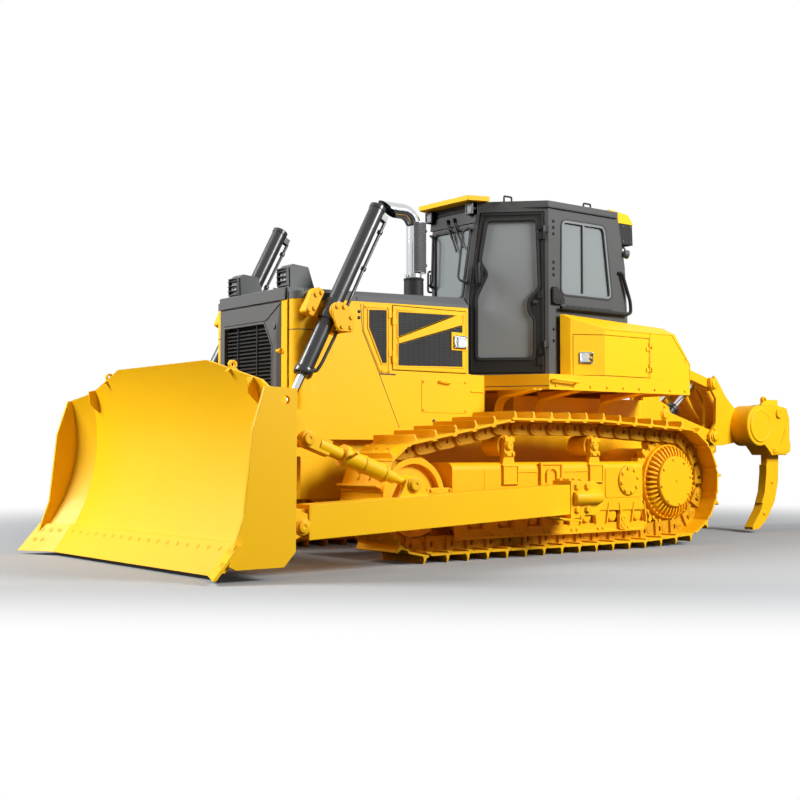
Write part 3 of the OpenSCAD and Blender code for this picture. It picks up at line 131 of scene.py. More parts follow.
@dataclass(frozen=True)
class Finish:
    """One real finish: its colours, how it was made and how it takes the light.

    Lengths are real ones in millimetres. drift is the size of slow colour patches, grain the size of the
    surface's texture and lift its height, round_edge the radius seen where plates meet.
    """

    name: str
    slot: str
    base: str
    shade: str
    roughness: float = 0.35
    swing: float = 0.06
    metallic: float = 0.0
    ior: float = 1.5
    coat: float = 0.0
    drift: float = 500.0
    grain: float = 7.0
    lift: float = 0.02
    round_edge: float = 0.0
    # A paler colour painted along rounded edges as a highlight.
    edge_highlight: str = ""
    weave: float = 0.0
    clear: float = 0.0
    kind: Surface = Surface.SOLID

    def material(self) -> bpy.types.Material:
        """Builds the material once and returns it."""
        known = bpy.data.materials.get(self.name)
        return known if known else self._build()

    def _build(self) -> bpy.types.Material:
        """Builds the node tree: slow colour drift, grain in roughness and bump, rounded edges with a painted highlight.

        Returns:
            The material.
        """
        made = bpy.data.materials.new(self.name)
        made.use_nodes = True
        tree = made.node_tree
        shader = tree.nodes["Principled BSDF"]
        where = add(tree, "ShaderNodeTexCoord", {}, {}).outputs["Object"]
        slow = add(tree, "ShaderNodeTexNoise", {}, {"Vector": where, "Scale": 1000 / self.drift, "Detail": 4.0})
        fine = add(tree, "ShaderNodeTexNoise", {}, {"Vector": where, "Scale": 1000 / self.grain, "Detail": 2.0})
        colour = add(tree, "ShaderNodeMix", {"data_type": "RGBA"}, {
            0: slow.outputs[0], MIX_A: linear(self.base), MIX_B: linear(self.shade)}).outputs[2]
        height = fine.outputs[0]
        normal = None
        if self.weave:
            turn = add(tree, "ShaderNodeMapping", {}, {"Vector": where, "Rotation": (0.6, 0.3, 0.785)})
            warp = [add(tree, "ShaderNodeTexWave", {"bands_direction": way}, {
                "Vector": turn.outputs[0], "Scale": 1000 / self.weave / 6.28, "Distortion": 0.4}).outputs[1]
                for way in ("X", "Y")]
            height = add(tree, "ShaderNodeMath", {"operation": "MULTIPLY"}, {0: warp[0], 1: warp[1]}).outputs[0]
        if self.round_edge:
            normal = add(tree, "ShaderNodeBevel", {"samples": 4}, {"Radius": self.round_edge / 1000}).outputs[0]
        # Painted highlight: where the rounded edge's normal turns away from the face's, the colour is mixed towards the
        # paler edge colour.
        if self.edge_highlight:
            flat = add(tree, "ShaderNodeNewGeometry", {}, {}).outputs["Normal"]
            turn = add(tree, "ShaderNodeVectorMath", {"operation": "DOT_PRODUCT"}, {0: normal, 1: flat})
            edge_lit = add(tree, "ShaderNodeMapRange", {}, {
                0: turn.outputs["Value"], 1: HIGHLIGHT_START, 2: HIGHLIGHT_END, 3: 0.0, 4: HIGHLIGHT_MOST})
            colour = add(tree, "ShaderNodeMix", {"data_type": "RGBA"}, {
                0: edge_lit.outputs[0], MIX_A: colour, MIX_B: linear(self.edge_highlight)}).outputs[2]
        rough = add(tree, "ShaderNodeMapRange", {}, {
            0: slow.outputs[0], 1: SWING_LOW, 2: SWING_HIGH, 3: self.roughness - self.swing,
            4: self.roughness + self.swing})
        bump = add(tree, "ShaderNodeBump", {}, {
            "Height": height, "Strength": BUMP_STRENGTH, "Distance": self.lift / 1000,
            **({"Normal": normal} if normal else {})})
        links = {"Base Color": colour, "Roughness": rough.outputs[0], "Normal": bump.outputs[0]}
        for key, link in links.items():
            tree.links.new(link, shader.inputs[key])
        values = {"Metallic": self.metallic, "IOR": self.ior, "Coat Weight": self.coat,
                  "Coat Roughness": COAT_ROUGHNESS}
        if self.kind is Surface.CLOTH:
            values["Sheen Weight"] = CLOTH_SHEEN
        if self.kind is Surface.GLASS:
            values["Alpha"] = 1.0 - self.clear
        for key, value in values.items():
            shader.inputs[key].default_value = value
        return made


# Two-coat machine enamel sprayed on steel: even, glossy, faint orange peel, slightly paler along its edges as a painted
# highlight.
YELLOW = Finish("machine_enamel_yellow", "yellow_paint", "#FDC50A", "#F9BD06", 0.45, 0.05, ior=1.3, coat=0.04, grain=9,
                lift=0.05, round_edge=5, edge_highlight="#FFCC38")
# The same enamel on castings and chain: more grain from the cast or forged skin underneath, and a paler painted
# highlight on its edges.
CASTING = Finish("machine_enamel_on_castings", "yellow_paint", "#FABE08", "#F3B205", 0.52, 0.06,
                 ior=1.3, grain=4, lift=0.25,
                 drift=260, round_edge=5, edge_highlight="#FFC838")
# The chain's enamel, painted darker than the other enamel as painted shade under the shoes and between the links, with
# a paler painted highlight on its edges.
CHAIN_SHADE = Finish("chain_enamel_painted_shade", "yellow_paint", "#DDA209", "#BE8806", 0.55, 0.08, ior=1.3,
               grain=4, lift=0.25, drift=120,
               round_edge=3, edge_highlight="#F2B820")
# Charcoal powder coat on cab doors, rails and lamps: fine sand texture, low gloss, a paler painted highlight on its
# edges.
CHARCOAL = Finish("powder_coat_charcoal", "charcoal_paint", "#2A2A2A", "#242423", 0.55, 0.04,
                  ior=1.28, grain=2.4, lift=0.06,
                  round_edge=5, edge_highlight="#454544")
# The cab shell in the doors' charcoal powder coat, painted one step lighter than its doors as painted light on the
# shell, with a paler painted highlight on its edges.
CHARCOAL_LIT = Finish("powder_coat_charcoal_painted_light", "charcoal_paint", "#525252", "#4B4B4A", 0.55, 0.04, ior=1.3, grain=2.4, lift=0.06,
               round_edge=5, edge_highlight="#565655")
# Mid grey powder coat on hood top, mask and headlamps: the same sand texture, one step lighter, with a paler painted
# highlight on its edges.
GREY = Finish("powder_coat_grey", "charcoal_paint", "#5E6061", "#545657", 0.48, 0.05, ior=1.35, grain=2.4, lift=0.06,
              round_edge=5, edge_highlight="#7C7E7F")
# Black gloss enamel on cylinder barrels.
BARREL = Finish("barrel_enamel_black", "charcoal_paint", "#242526", "#1B1C1D", 0.3, 0.05, coat=0.2, grain=8, lift=0.04,
                round_edge=2)
# Moulded rubber seals and hoses: matt, faint mould grain. The same black makes the sheets of painted shade behind the
# hood's screens.
RUBBER_AND_SHADE = Finish("black_rubber_and_painted_shade", "charcoal_paint", "#191919", "#222221", 0.62, 0.06, grain=1.6, lift=0.08)
# Perforated and woven steel screens under black primer.
SCREEN = Finish("primed_screen_grey", "charcoal_paint", "#2B2C2D", "#242526", 0.6, 0.06, ior=1.3, grain=3, lift=0.05)
# Hard chrome plate, polished along its length.
CHROME = Finish("hard_chrome_plate", "chrome_plate", "#D8DADC", "#C6C9CC", 0.12, 0.03, 1.0, 1.5, grain=1.2, lift=0.01)
# Bright zinc plated steel of latches and clamps.
ZINC = Finish("zinc_plated_steel", "chrome_plate", "#BFC3C4", "#A9ADAE", 0.34, 0.08, 1.0, 1.5, drift=30, grain=2,
              lift=0.02)
# Anodised aluminium of the sliding windows: satin, pale grey.
ANODISED = Finish("anodised_aluminium_satin", "chrome_plate", "#7E8284", "#767A7C", 0.5, 0.05,
                  ior=1.4, grain=2, lift=0.02)
# Laminated grey tinted glass, drawn as a pale grey sheet seven tenths opaque: the tint is real, the pale grey is a
# painted reflection of the bright studio over the panes.
GLASS = Finish("tinted_glass_painted_reflection", "tinted_glass", "#949A9B", "#989E9F", 0.04, 0.01, 0.0, 1.52, grain=400,
               lift=0.0, clear=0.3, kind=Surface.GLASS)
# Woven seat cloth over foam.
CLOTH = Finish("woven_seat_cloth", "seat_cloth", "#2B2C2E", "#35363A", 0.85, 0.05, drift=90, lift=0.6, weave=4,
               kind=Surface.CLOTH)
# Moulded polycarbonate lamp lens.
LENS = Finish("lamp_lens_clear", "tinted_glass", "#E8ECEC", "#DDE3E4", 0.08, 0.02, 0.0, 1.58, coat=0.5, grain=5,
              lift=0.2)
# Frosted lens of a work lamp that is switched off.
GLASS_GREY = Finish("lamp_lens_frosted", "tinted_glass", "#8E9192", "#868A8B", 0.3, 0.04, ior=1.4, grain=4, lift=0.1)
# Injection moulded dark trim.
TRIM = Finish("moulded_trim_dark", "charcoal_paint", "#27282A", "#2E2F31", 0.5, 0.05, grain=1.4, lift=0.1, round_edge=4)


@dataclass
class Studio:
    """Camera at the photograph's place, soft lamps and a pale floor.

    A lamp has a place, a size in metres and a power in watts, and points at aim. The floor turns white over fade, the
    distance from its middle, and over front_fade, the distance along front_way towards the camera.
    """

    eye: Triple = (7.687, 8.473, 0.838)
    look: Triple = (-0.6184, -0.7848, 0.0409)
    lens_mm: float = 56.56
    sensor_mm: float = 36.0
    aim: Triple = (0.3, 0.0, 1.2)
    soft_light: float = 0.13
    floor_half: float = 60.0
    fade: Pair = (3.6, 10.5)
    front_way: Triple = (0.672, 0.741, 0.0)
    front_fade: Pair = (3.4, 5.8)
    floor_glow: Pair = (0.02, 1.0)
    lamps: tuple[tuple[Triple, float, float], ...] = (
        ((10.0, -4.5, 7.5), 4.5, 1850.0), ((-3.9, 10.2, 6.8), 4.2, 2000.0), ((2.0, 1.0, 12.0), 6.0, 60.0))

    def build(self) -> None:
        """Makes camera, lamps, world and floor."""
        scene = bpy.context.scene
        scene.view_settings.view_transform = "Standard"
        camera = bpy.data.objects.new("camera", bpy.data.cameras.new("camera"))
        camera.data.lens = self.lens_mm
        camera.data.sensor_width = self.sensor_mm
        camera.location = self.eye
        camera.rotation_mode = "QUATERNION"
        camera.rotation_quaternion = Vector(self.look).to_track_quat("-Z", "Y")
        scene.collection.objects.link(camera)
        scene.camera = camera
        for i, (place, size, watts) in enumerate(self.lamps):
            lamp = bpy.data.lights.new(f"softbox_{i}", "AREA")
            lamp.size = size
            lamp.energy = watts
            holder = bpy.data.objects.new(f"softbox_{i}", lamp)
            holder.location = place
            holder.rotation_mode = "QUATERNION"
            holder.rotation_quaternion = (Vector(self.aim) - Vector(place)).to_track_quat("-Z", "Y")
            scene.collection.objects.link(holder)
        self._world()
        self._floor()

    def _world(self) -> None:
        """White for camera, mirror and glass rays, a plain level of soft light for the rest."""
        world = bpy.data.worlds.new("studio")
        bpy.context.scene.world = world
        world.use_nodes = True
        tree = world.node_tree
        path = add(tree, "ShaderNodeLightPath", {}, {})
        clear = add(tree, "ShaderNodeMath", {"operation": "MAXIMUM"}, {
            0: path.outputs["Is Glossy Ray"], 1: path.outputs["Is Transmission Ray"]})
        seen = add(tree, "ShaderNodeMath", {"operation": "MAXIMUM"},
                   {0: path.outputs["Is Camera Ray"], 1: clear.outputs[0]})
        level = add(tree, "ShaderNodeMapRange", {}, {0: seen.outputs[0], 3: self.soft_light, 4: 1.0})
        plain = tree.nodes["Background"]
        plain.inputs["Color"].default_value = (1, 1, 1, 1)
        tree.links.new(level.outputs[0], plain.inputs["Strength"])

    def _floor(self) -> None:
        """A pale floor that keeps the shadow; camera rays see it lifted towards white."""
        corner = np.array(rect(-1, -1, 1, 1)) * self.floor_half
        mesh = bpy.data.meshes.new("floor")
        mesh.from_pydata(np.c_[corner, np.zeros(4)].tolist(), [], [(0, 1, 2, 3)])
        floor = bpy.data.objects.new("floor", mesh)
        bpy.context.scene.collection.objects.link(floor)
        paint = bpy.data.materials.new("studio_floor")
        paint.use_nodes = True
        tree = paint.node_tree
        shader = tree.nodes["Principled BSDF"]
        where = add(tree, "ShaderNodeTexCoord", {}, {}).outputs["Object"]
        away = add(tree, "ShaderNodeVectorMath", {"operation": "LENGTH"}, {0: where}).outputs["Value"]
        wide = add(tree, "ShaderNodeMapRange", {"interpolation_type": "SMOOTHSTEP"},
                   {0: away, 1: self.fade[0], 2: self.fade[1]})
        near = add(tree, "ShaderNodeVectorMath", {"operation": "DOT_PRODUCT"},
                   {0: where, 1: self.front_way}).outputs["Value"]
        front = add(tree, "ShaderNodeMapRange", {"interpolation_type": "SMOOTHSTEP"},
                    {0: near, 1: self.front_fade[0], 2: self.front_fade[1]})
        far = add(tree, "ShaderNodeMath", {"operation": "MAXIMUM"},
                  {0: wide.outputs[0], 1: front.outputs[0]}).outputs[0]
        path = add(tree, "ShaderNodeLightPath", {}, {})
        seen = add(tree, "ShaderNodeMix", {"data_type": "RGBA"},
                   {0: far, MIX_A: linear("#A2A4A6"), MIX_B: linear("#000000")})
        base = add(tree, "ShaderNodeMix", {"data_type": "RGBA"}, {
            0: path.outputs["Is Camera Ray"], MIX_A: linear("#3C3D40"), MIX_B: seen.outputs[2]})
        level = add(tree, "ShaderNodeMapRange", {}, {0: far, 3: self.floor_glow[0], 4: self.floor_glow[1]})
        lift = add(tree, "ShaderNodeMath", {"operation": "MULTIPLY"},
                   {0: path.outputs["Is Camera Ray"], 1: level.outputs[0]})
        tree.links.new(base.outputs[2], shader.inputs["Base Color"])
        tree.links.new(lift.outputs[0], shader.inputs["Emission Strength"])
        shader.inputs["Emission Color"].default_value = (1, 1, 1, 1)
        shader.inputs["Roughness"].default_value = 0.7
        shader.inputs["Specular IOR Level"].default_value = 0.0
        mesh.materials.append(paint)


@dataclass
class Shape:
    """A mesh as arrays: points, and faces as one run of corner indices with a corner count for each face."""

    points: Array
    corners: Array
    counts: Array

    def __add__(self, other: "Shape") -> "Shape":
        """Both shapes in one."""
        return Shape(np.vstack([self.points, other.points]),
                     np.concatenate([self.corners, other.corners + len(self.points)]),
                     np.concatenate([self.counts, other.counts]))

    def moved(self, shift: Sequence[float], axes: Array | None = None) -> "Shape":
        """The shape with its own x, y, z laid along the rows of axes and its origin at shift."""
        turned = self.points if axes is None else self.points @ np.asarray(axes, float)
        return Shape(turned + np.asarray(shift, float), self.corners, self.counts)

    def copies(self, shifts: Array, axes: Array | None = None) -> "Shape":
        """Copies at many places, all computed at once.

        Args:
            shifts: Places, k by 3.
            axes: One 3 by 3 frame of rows, or k of them.
        Returns:
            One shape of k copies.
        """
        shifts = np.asarray(shifts, float).reshape(-1, 3)
        turned = self.points[None] if axes is None else np.einsum(
            "pi,kij->kpj", self.points, np.asarray(axes, float).reshape(-1, 3, 3))
        points = (turned + shifts[:, None, :]).reshape(-1, 3)
        step = (np.arange(len(shifts)) * len(self.points))[:, None]
        return Shape(points, (self.corners[None] + step).ravel(), np.tile(self.counts, len(shifts)))

    def mirrored(self) -> "Shape":
        """The shape on the other side of the machine, its faces turned so that they still point outwards."""
        start = np.repeat(np.cumsum(self.counts) - self.counts, self.counts)
        total = np.repeat(self.counts, self.counts)
        place = np.arange(len(self.corners)) - start
        return Shape(self.points * [1, -1, 1], self.corners[start + total - 1 - place], self.counts)

    def sided(self, sign: float) -> "Shape":
        """The shape itself for the left side, mirrored for the right."""
        return self if sign > 0 else self.mirrored()

    def both(self) -> "Shape":
        """The shape with its mirror image."""
        return self + self.mirrored()


def joined(shapes: Sequence[Shape]) -> Shape:
    """Several shapes in one."""
    total = shapes[0]
    for extra in shapes[1:]:
        total = total + extra
    return total


def grid(points: Array, close_u: bool = False, close_v: bool = False) -> Shape:
    """Quads over an n by m grid of points, u along the first index and v along the second.

    Args:
        points: Grid of n by m points.
        close_u: Joins the last row to the first.
        close_v: Joins the last column to the first.
    Returns:
        The sheet, or a closed ring or tube.
    """
    n, m = points.shape[:2]
    u = np.arange(n if close_u else n - 1)[:, None]
    v = np.arange(m if close_v else m - 1)[None, :]
    a, b = u * m + v, u * m + (v + 1) % m
    c, d = ((u + 1) % n) * m + (v + 1) % m, ((u + 1) % n) * m + v
    quads = np.stack([a, b, c, d], -1).reshape(-1, 4)
    return Shape(points.reshape(-1, 3).astype(float), quads.ravel(), np.full(len(quads), 4))


def loft(rings: Array) -> Shape:
    """A closed body over rings of points, n rings of m points, with a flat end at each end."""
    body = grid(rings, close_v=True)
    n, m = rings.shape[:2]
    ends = np.concatenate([np.arange(m)[::-1], np.arange(m) + (n - 1) * m])
    return Shape(body.points, np.concatenate([body.corners, ends]), np.concatenate([body.counts, [m, m]]))


def outward(shape: Shape) -> Shape:
    """Turns a closed shape's faces round if its signed volume, summed over fans of its faces, is negative."""
    first = np.cumsum(shape.counts) - shape.counts
    face = np.repeat(np.arange(len(shape.counts)), shape.counts - 2)
    step = np.arange(len(face)) - np.repeat(np.cumsum(shape.counts - 2) - (shape.counts - 2), shape.counts - 2)
    a = shape.points[shape.corners[first[face]]]
    b = shape.points[shape.corners[first[face] + step + 1]]
    c = shape.points[shape.corners[first[face] + step + 2]]
    if np.einsum("ij,ij->i", a, np.cross(b, c)).sum() >= 0:
        return shape
    flipped = shape.mirrored()
    return Shape(shape.points, flipped.corners, flipped.counts)


def laid(lines: Any, levels: Sequence[float], plane: Plane) -> Array:
    """Lays outlines with as many corners each at levels on the plane's through axis, as rings of points."""
    flat = np.asarray(lines, float)
    across, up, through = plane.value
    rings = np.zeros((*flat.shape[:2], 3))
    rings[:, :, across], rings[:, :, up] = flat[..., 0], flat[..., 1]
    rings[:, :, through] = np.asarray(levels, float)[:, None]
    return rings


def prism(outline: Line, low: float, high: float, plane: Plane = Plane.XZ) -> Shape:
    """An outline carried straight from low to high, square to its plane."""
    return outward(loft(laid([outline, outline], [low, high], plane)))


def rect(left: float, low: float, right: float, high: float) -> list[list[float]]:
    """The outline of an upright rectangle, from its first corner round."""
    return [[left, low], [right, low], [right, high], [left, high]]


def border(outline: Line, wide: float, low: float, high: float, plane: Plane = Plane.XZ) -> Shape:
    """A strip of that width inside an outline, carried from low to high: a seal or frame round an opening.

    Each corner moves inwards along its mitre, half way between the normals of its two sides.
    """
    flat = np.asarray(outline, float)
    after, before = np.roll(flat, -1, 0) - flat, flat - np.roll(flat, 1, 0)
    spin = np.sign(np.sum(flat[:, 0] * np.roll(flat[:, 1], -1) - np.roll(flat[:, 0], -1) * flat[:, 1]))
    n1 = np.c_[-after[:, 1], after[:, 0]] / np.linalg.norm(after, axis=1)[:, None] * spin
    n0 = np.c_[-before[:, 1], before[:, 0]] / np.linalg.norm(before, axis=1)[:, None] * spin
    mitre = (n0 + n1) / (1 + np.sum(n0 * n1, 1))[:, None]
    return framed(flat, flat + mitre * wide, low, high, plane)


def framed(outer: Array, inner: Array, low: float, high: float, plane: Plane = Plane.XZ) -> Shape:
    """A plate between an outline and a hole with as many corners, carried from low to high."""
    return outward(grid(laid([outer, outer, inner, inner], [low, high, high, low], plane), True, True))


def axes_along(way: Sequence[float]) -> Array:
    """A frame of rows whose third axis lies along the given way."""
    z = np.asarray(way, float) / np.linalg.norm(way)
    x = np.cross([0, 1, 0] if abs(z[1]) < 0.9 else [1, 0, 0], z)
    x /= np.linalg.norm(x)
    return np.array([x, np.cross(z, x), z])


def turned(profile: Line, steps: int) -> Array:
    """Rings of points from a profile of (radius, distance) turned round the z axis."""
    flat = np.asarray(profile, float)
    turn = np.linspace(0, 2 * math.pi, steps, endpoint=False)
    return np.stack([flat[:, :1] * np.cos(turn), flat[:, :1] * np.sin(turn), np.repeat(flat[:, 1:], steps, 1)], -1)


def revolve(profile: Line, place: Sequence[float], way: Sequence[float], steps: int = 32) -> Shape:
    """A profile of (radius, distance) turned round a line from place along way, with flat ends."""
    return outward(loft(turned(profile, steps))).moved(place, axes_along(way))


def washer(profile: Line, place: Sequence[float], way: Sequence[float], steps: int = 32) -> Shape:
    """A closed profile of (radius, distance) turned round a line: a ring with a hole."""
    return outward(grid(turned(profile, steps), True, True)).moved(place, axes_along(way))


def bends(corner: Array, before: Array, after: Array, reach: Pair, steps: int) -> Array:
    """Quadratic curves in place of corners.

    Args:
        corner: The corners, k by 2 or 3.
        before: The point before each corner.
        after: The point after each corner.
        reach: The longest curve leg, and the largest share of a side that a leg may take.
        steps: Points on each curve.
    Returns:
        The points of all curves in a row.
    """
    to, on = before - corner, after - corner
    near, far = np.linalg.norm(to, axis=1), np.linalg.norm(on, axis=1)
    leg = np.minimum(reach[0], reach[1] * np.minimum(near, far))[:, None]
    a, b = corner + to / near[:, None] * leg, corner + on / far[:, None] * leg
    t = np.linspace(0, 1, steps)[None, :, None]
    curve = (1 - t) ** 2 * a[:, None] + 2 * t * (1 - t) * corner[:, None] + t ** 2 * b[:, None]
    return curve.reshape(-1, corner.shape[1])


def rounded(points: Line, bend: float, steps: int = 7) -> Array:
    """An open path through corners, each corner replaced by a curve that starts bend before it."""
    p = np.asarray(points, float)
    if len(p) < 3:
        return p
    return np.vstack([p[:1], bends(p[1:-1], p[:-2], p[2:], (bend, 0.48), steps), p[-1:]])


def soft(outline: Line, bend: float, steps: int = 6) -> Array:
    """A closed outline with each corner replaced by a curve."""
    p = np.asarray(outline, float)
    return bends(p, np.roll(p, 1, 0), np.roll(p, -1, 0), (bend, 0.45), steps)


def tube(path: Array, radius: float, sides: int = 12) -> Shape:
    """A round bar or pipe along a path; each ring is square to the mean of its two neighbours' directions."""
    p = np.asarray(path, float)
    way = np.gradient(p, axis=0)
    way /= np.linalg.norm(way, axis=1)[:, None]
    ref = np.eye(3)[int(np.argmin(np.abs(way).max(0)))]
    x = np.cross(ref, way)
    x /= np.linalg.norm(x, axis=1)[:, None]
    y = np.cross(way, x)
    turn = np.linspace(0, 2 * math.pi, sides, endpoint=False)
    rings = p[:, None] + radius * (x[:, None] * np.cos(turn)[:, None] + y[:, None] * np.sin(turn)[:, None])
    return outward(loft(rings))


def hex_bolts(places: Array, way: Sequence[float], across: float) -> Shape:
    """Bolt heads with washers at many places: chamfered hexagons, sized by their width across corners."""
    r = across / 2
    size = [[r, 0], [r, 0.55 * r], [0.82 * r, 0.7 * r]]
    head = outward(loft(turned(size, 6))) + revolve([[1.25 * r, -0.02 * r], [1.25 * r, 0.12 * r]], ORIGIN, UP, 12)
    return head.copies(places, axes_along(way))


def ring_of(count: int, radius: float, centre: Sequence[float], way: Sequence[float], start: float = 0.0) -> Array:
    """Places evenly spaced on a circle round a line through centre along way."""
    turn = np.linspace(0, 2 * math.pi, count, endpoint=False) + start
    local = np.c_[radius * np.cos(turn), radius * np.sin(turn), np.zeros(count)]
    return local @ axes_along(way) + np.asarray(centre, float)


def piece(name: str, shape: Shape, finish: Finish, body: str = "tractor", sharp: float = 32.0, bevel: float = 0.0,
          stands_for: Sequence[str] = ()) -> bpy.types.Object:
    """Puts a shape into the scene as a piece that rides on a CAD body.

    Args:
        name: Piece name.
        shape: The mesh arrays, in the shared frame.
        finish: Its finish.
        body: CAD body that carries it, the tractor unless it moves.
        sharp: Edges turning more than this angle stay sharp.
        bevel: Width of rounded edges in metres, or none.
        stands_for: CAD nodes that it replaces.
    Returns:
        The object.
    """
    mesh = bpy.data.meshes.new(name)
    mesh.vertices.add(len(shape.points))
    mesh.vertices.foreach_set("co", shape.points.astype(np.float32).ravel())
    mesh.loops.add(len(shape.corners))
    mesh.loops.foreach_set("vertex_index", shape.corners.astype(np.int32))
    mesh.polygons.add(len(shape.counts))
    mesh.polygons.foreach_set("loop_start", (np.cumsum(shape.counts) - shape.counts).astype(np.int32))
    mesh.polygons.foreach_set("use_smooth", np.ones(len(shape.counts), bool))
    mesh.update(calc_edges=True)
    mesh.validate()
    mesh.set_sharp_from_angle(angle=math.radians(sharp))
    mesh.materials.append(finish.material())
    made = bpy.data.objects.new(name, mesh)
    bpy.context.scene.collection.objects.link(made)
    if bevel:
        edge = made.modifiers.new("edges", "BEVEL")
        edge.width = bevel
        edge.segments = EDGE_STEPS
        edge.limit_method = "ANGLE"
        edge.angle_limit = math.radians(EDGE_ANGLE)
        edge.harden_normals = True
    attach(made, body)
    if stands_for:
        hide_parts(*stands_for)
    LOG.info("%s: %d faces on %s", name, len(shape.counts), body)
    return made


@dataclass
class TrackChain:
    """One crawler chain, laid round the same belt as its CAD loop: shoes, overlapping links, pins and bolts."""

    side: str
    sign: float
    shoes: int = 41
    centre: float = 0.945
    width: float = 0.51
    plate: Triple = (0.057, 0.075, 0.130)
    rail: float = 0.0595
    wheels: tuple[Triple, ...] = (
        (-0.780, 0.290, 0.160), (*IDLER, 0.360), (0.755, 0.885, 0.145), (-0.240, 0.885, 0.145), (*SPROCKET, 0.4085))

    def places(self, phase: float) -> tuple[Array, Array, float]:
        """Points at equal steps along the belt of arcs and tangents round the wheels.

        Args:
            phase: Start as a share of one step.
        Returns:
            Points, local frames (along, across, outwards) and the step.
        """
        wheel = np.array(self.wheels)
        after = np.roll(wheel, -1, 0)
        gap = after - wheel
        apart = np.hypot(gap[:, 0], gap[:, 1])
        leave = np.arctan2(gap[:, 1], gap[:, 0]) - np.arccos(-gap[:, 2] / apart)
        enter = np.roll(leave, 1)
        arc = wheel[:, 2] * np.mod(leave - enter, 2 * math.pi)
        run = np.sqrt(apart ** 2 - gap[:, 2] ** 2)
        start = np.concatenate([[0], np.cumsum(arc + run)])
        step = start[-1] / self.shoes
        way = (np.arange(self.shoes) + phase) * step
        k = np.searchsorted(start, way, side="right") - 1
        past = way - start[k]
        turn = np.where(past <= arc[k], enter[k] + past / wheel[k, 2], leave[k])
        out = np.c_[np.cos(turn), np.zeros(self.shoes), np.sin(turn)]
        along = np.c_[-np.sin(turn), np.zeros(self.shoes), np.cos(turn)]
        across = np.tile([0.0, -1.0, 0.0], (self.shoes, 1))
        point = np.c_[wheel[k, 0], np.full(self.shoes, self.centre), wheel[k, 1]] + out * wheel[k, 2:3]
        point += along * np.maximum(past - arc[k], 0)[:, None]
        return point, np.stack([along, across, out], 1), step

    def shoe(self, half: float) -> Shape:
        """A single-bar shoe: its rolled profile with a lip under the next shoe, the bar's ends cut back a little."""
        low, face, tip = self.plate
        outline = np.array([
            [-half + .004, low], [-half + .004, face], [-half + .016, face], [-half + .022, face + .006],
            [-half + .0285, tip - .004], [-half + .032, tip], [-half + .042, tip], [-half + .0455, tip - .004],
            [-half + .054, face + .006], [-half + .062, face], [half - .010, face], [half + .002, face - .006],
            [half + .002, low + .001], [half + .040, low - .004], [half + .040, low - .012], [half - .004, low - .012],
            [half - .008, low]])
        reach = np.array([-1.0, -0.97, 0.97, 1.0]) * self.width / 2
        rings = np.zeros((4, len(outline), 3))
        rings[:, :, 0] = outline[:, 0]
        rings[:, :, 1] = reach[:, None]
        rings[:, :, 2] = outline[:, 1]
        rings[[0, 3], :, 2] = np.minimum(outline[:, 1], face + 0.6 * (tip - face))
        return outward(loft(rings))

    def link(self, half: float) -> Shape:
        """Link pair of one pitch: an outer half plate round one pin and an inner half plate round the next."""
        turn = np.radians(np.linspace(90, 270, 11))
        eye = np.c_[-half + 0.052 * np.cos(turn), 0.0555 * np.sin(turn) - .001]
        outline = np.vstack([[0.014, -self.rail], [0.014, -.02], [0.014, .02], [0.014, self.plate[0]],
                             [-.03, self.plate[0]], eye, [-.03, -self.rail]])
        way = np.arctan2(outline[:, 1] - .004, outline[:, 0] + .040)
        hole = np.c_[.013 * np.cos(way) - .040, .026 * np.sin(way) + .004]
        outer = framed(outline, hole, 0.070, 0.092)
        inner = framed(outline * [-1, 1], hole * [-1, 1], 0.048, 0.0705)
        boss = washer([[.020, 0], [.037, 0], [.037, .004], [.033, .007], [.020, .007]], (-half, .091, 0), ACROSS, 14)
        return joined([outer, inner, boss]).both()

    def build(self) -> None:
        """Builds the chain's two pieces."""
        middle, frames, step = self.places(0.5)
        joints, turns, _ = self.places(0.0)
        half = step / 2
        spots = np.array([[u, y, self.plate[1]] for u in (0.006, 0.052) for y in (-0.071, 0.071)])
        shoes = (self.shoe(half) + hex_bolts(spots, UP, 0.034)).copies(middle, frames)
        piece(f"track_shoes_{self.side}", shoes.sided(self.sign), CASTING, stands_for=[f"track_{self.side}"])
        pin = revolve([[.014, -.099], [.020, -.097], [.021, -.093], [.021, .093], [.020, .097], [.014, .099]],
                      ORIGIN, ACROSS, 14)
        bush = revolve([[.031, -.0475], [.031, .0475]], ORIGIN, ACROSS, 14)
        links = self.link(half).copies(middle, frames) + (pin + bush).copies(joints, turns)
        # The links take the darker finish: painted shade under the shoes.
        piece(f"track_links_{self.side}", links.sided(self.sign), CHAIN_SHADE)
        LOG.info("%s chain: pitch %.1f mm at y %.3f", self.side, step * 1000, self.centre)


@dataclass
class Undercarriage:
    """Final drives: hub covers with their bolts, the drum behind them and the sprocket segments' bolts."""

    hub: Triple = (SPROCKET[0], 1.100, SPROCKET[1])

    def build(self) -> None:
        """Builds the covers of both sides."""
        way = ACROSS
        hub_x, hub_y, hub_z = self.hub
        cover = revolve([[.227, -.03], [.227, .004], [.219, .012], [.012, .012], [.010, .004]], self.hub, way, 56)
        bolts = hex_bolts(ring_of(8, 0.200, (hub_x, hub_y + .012, hub_z), way, .2), way, 0.026)
        drum = washer([[.316, .87], [.333, .87], [.335, 1.018], [.329, 1.026], [.316, 1.026]],
                      (hub_x, 0, hub_z), way, 56)
        segment = hex_bolts(ring_of(25, 0.362, (hub_x, 0.986, hub_z), way, .12), way, 0.034)
        piece("final_drive_covers", joined([cover, bolts, drum, segment]).both(), CASTING)


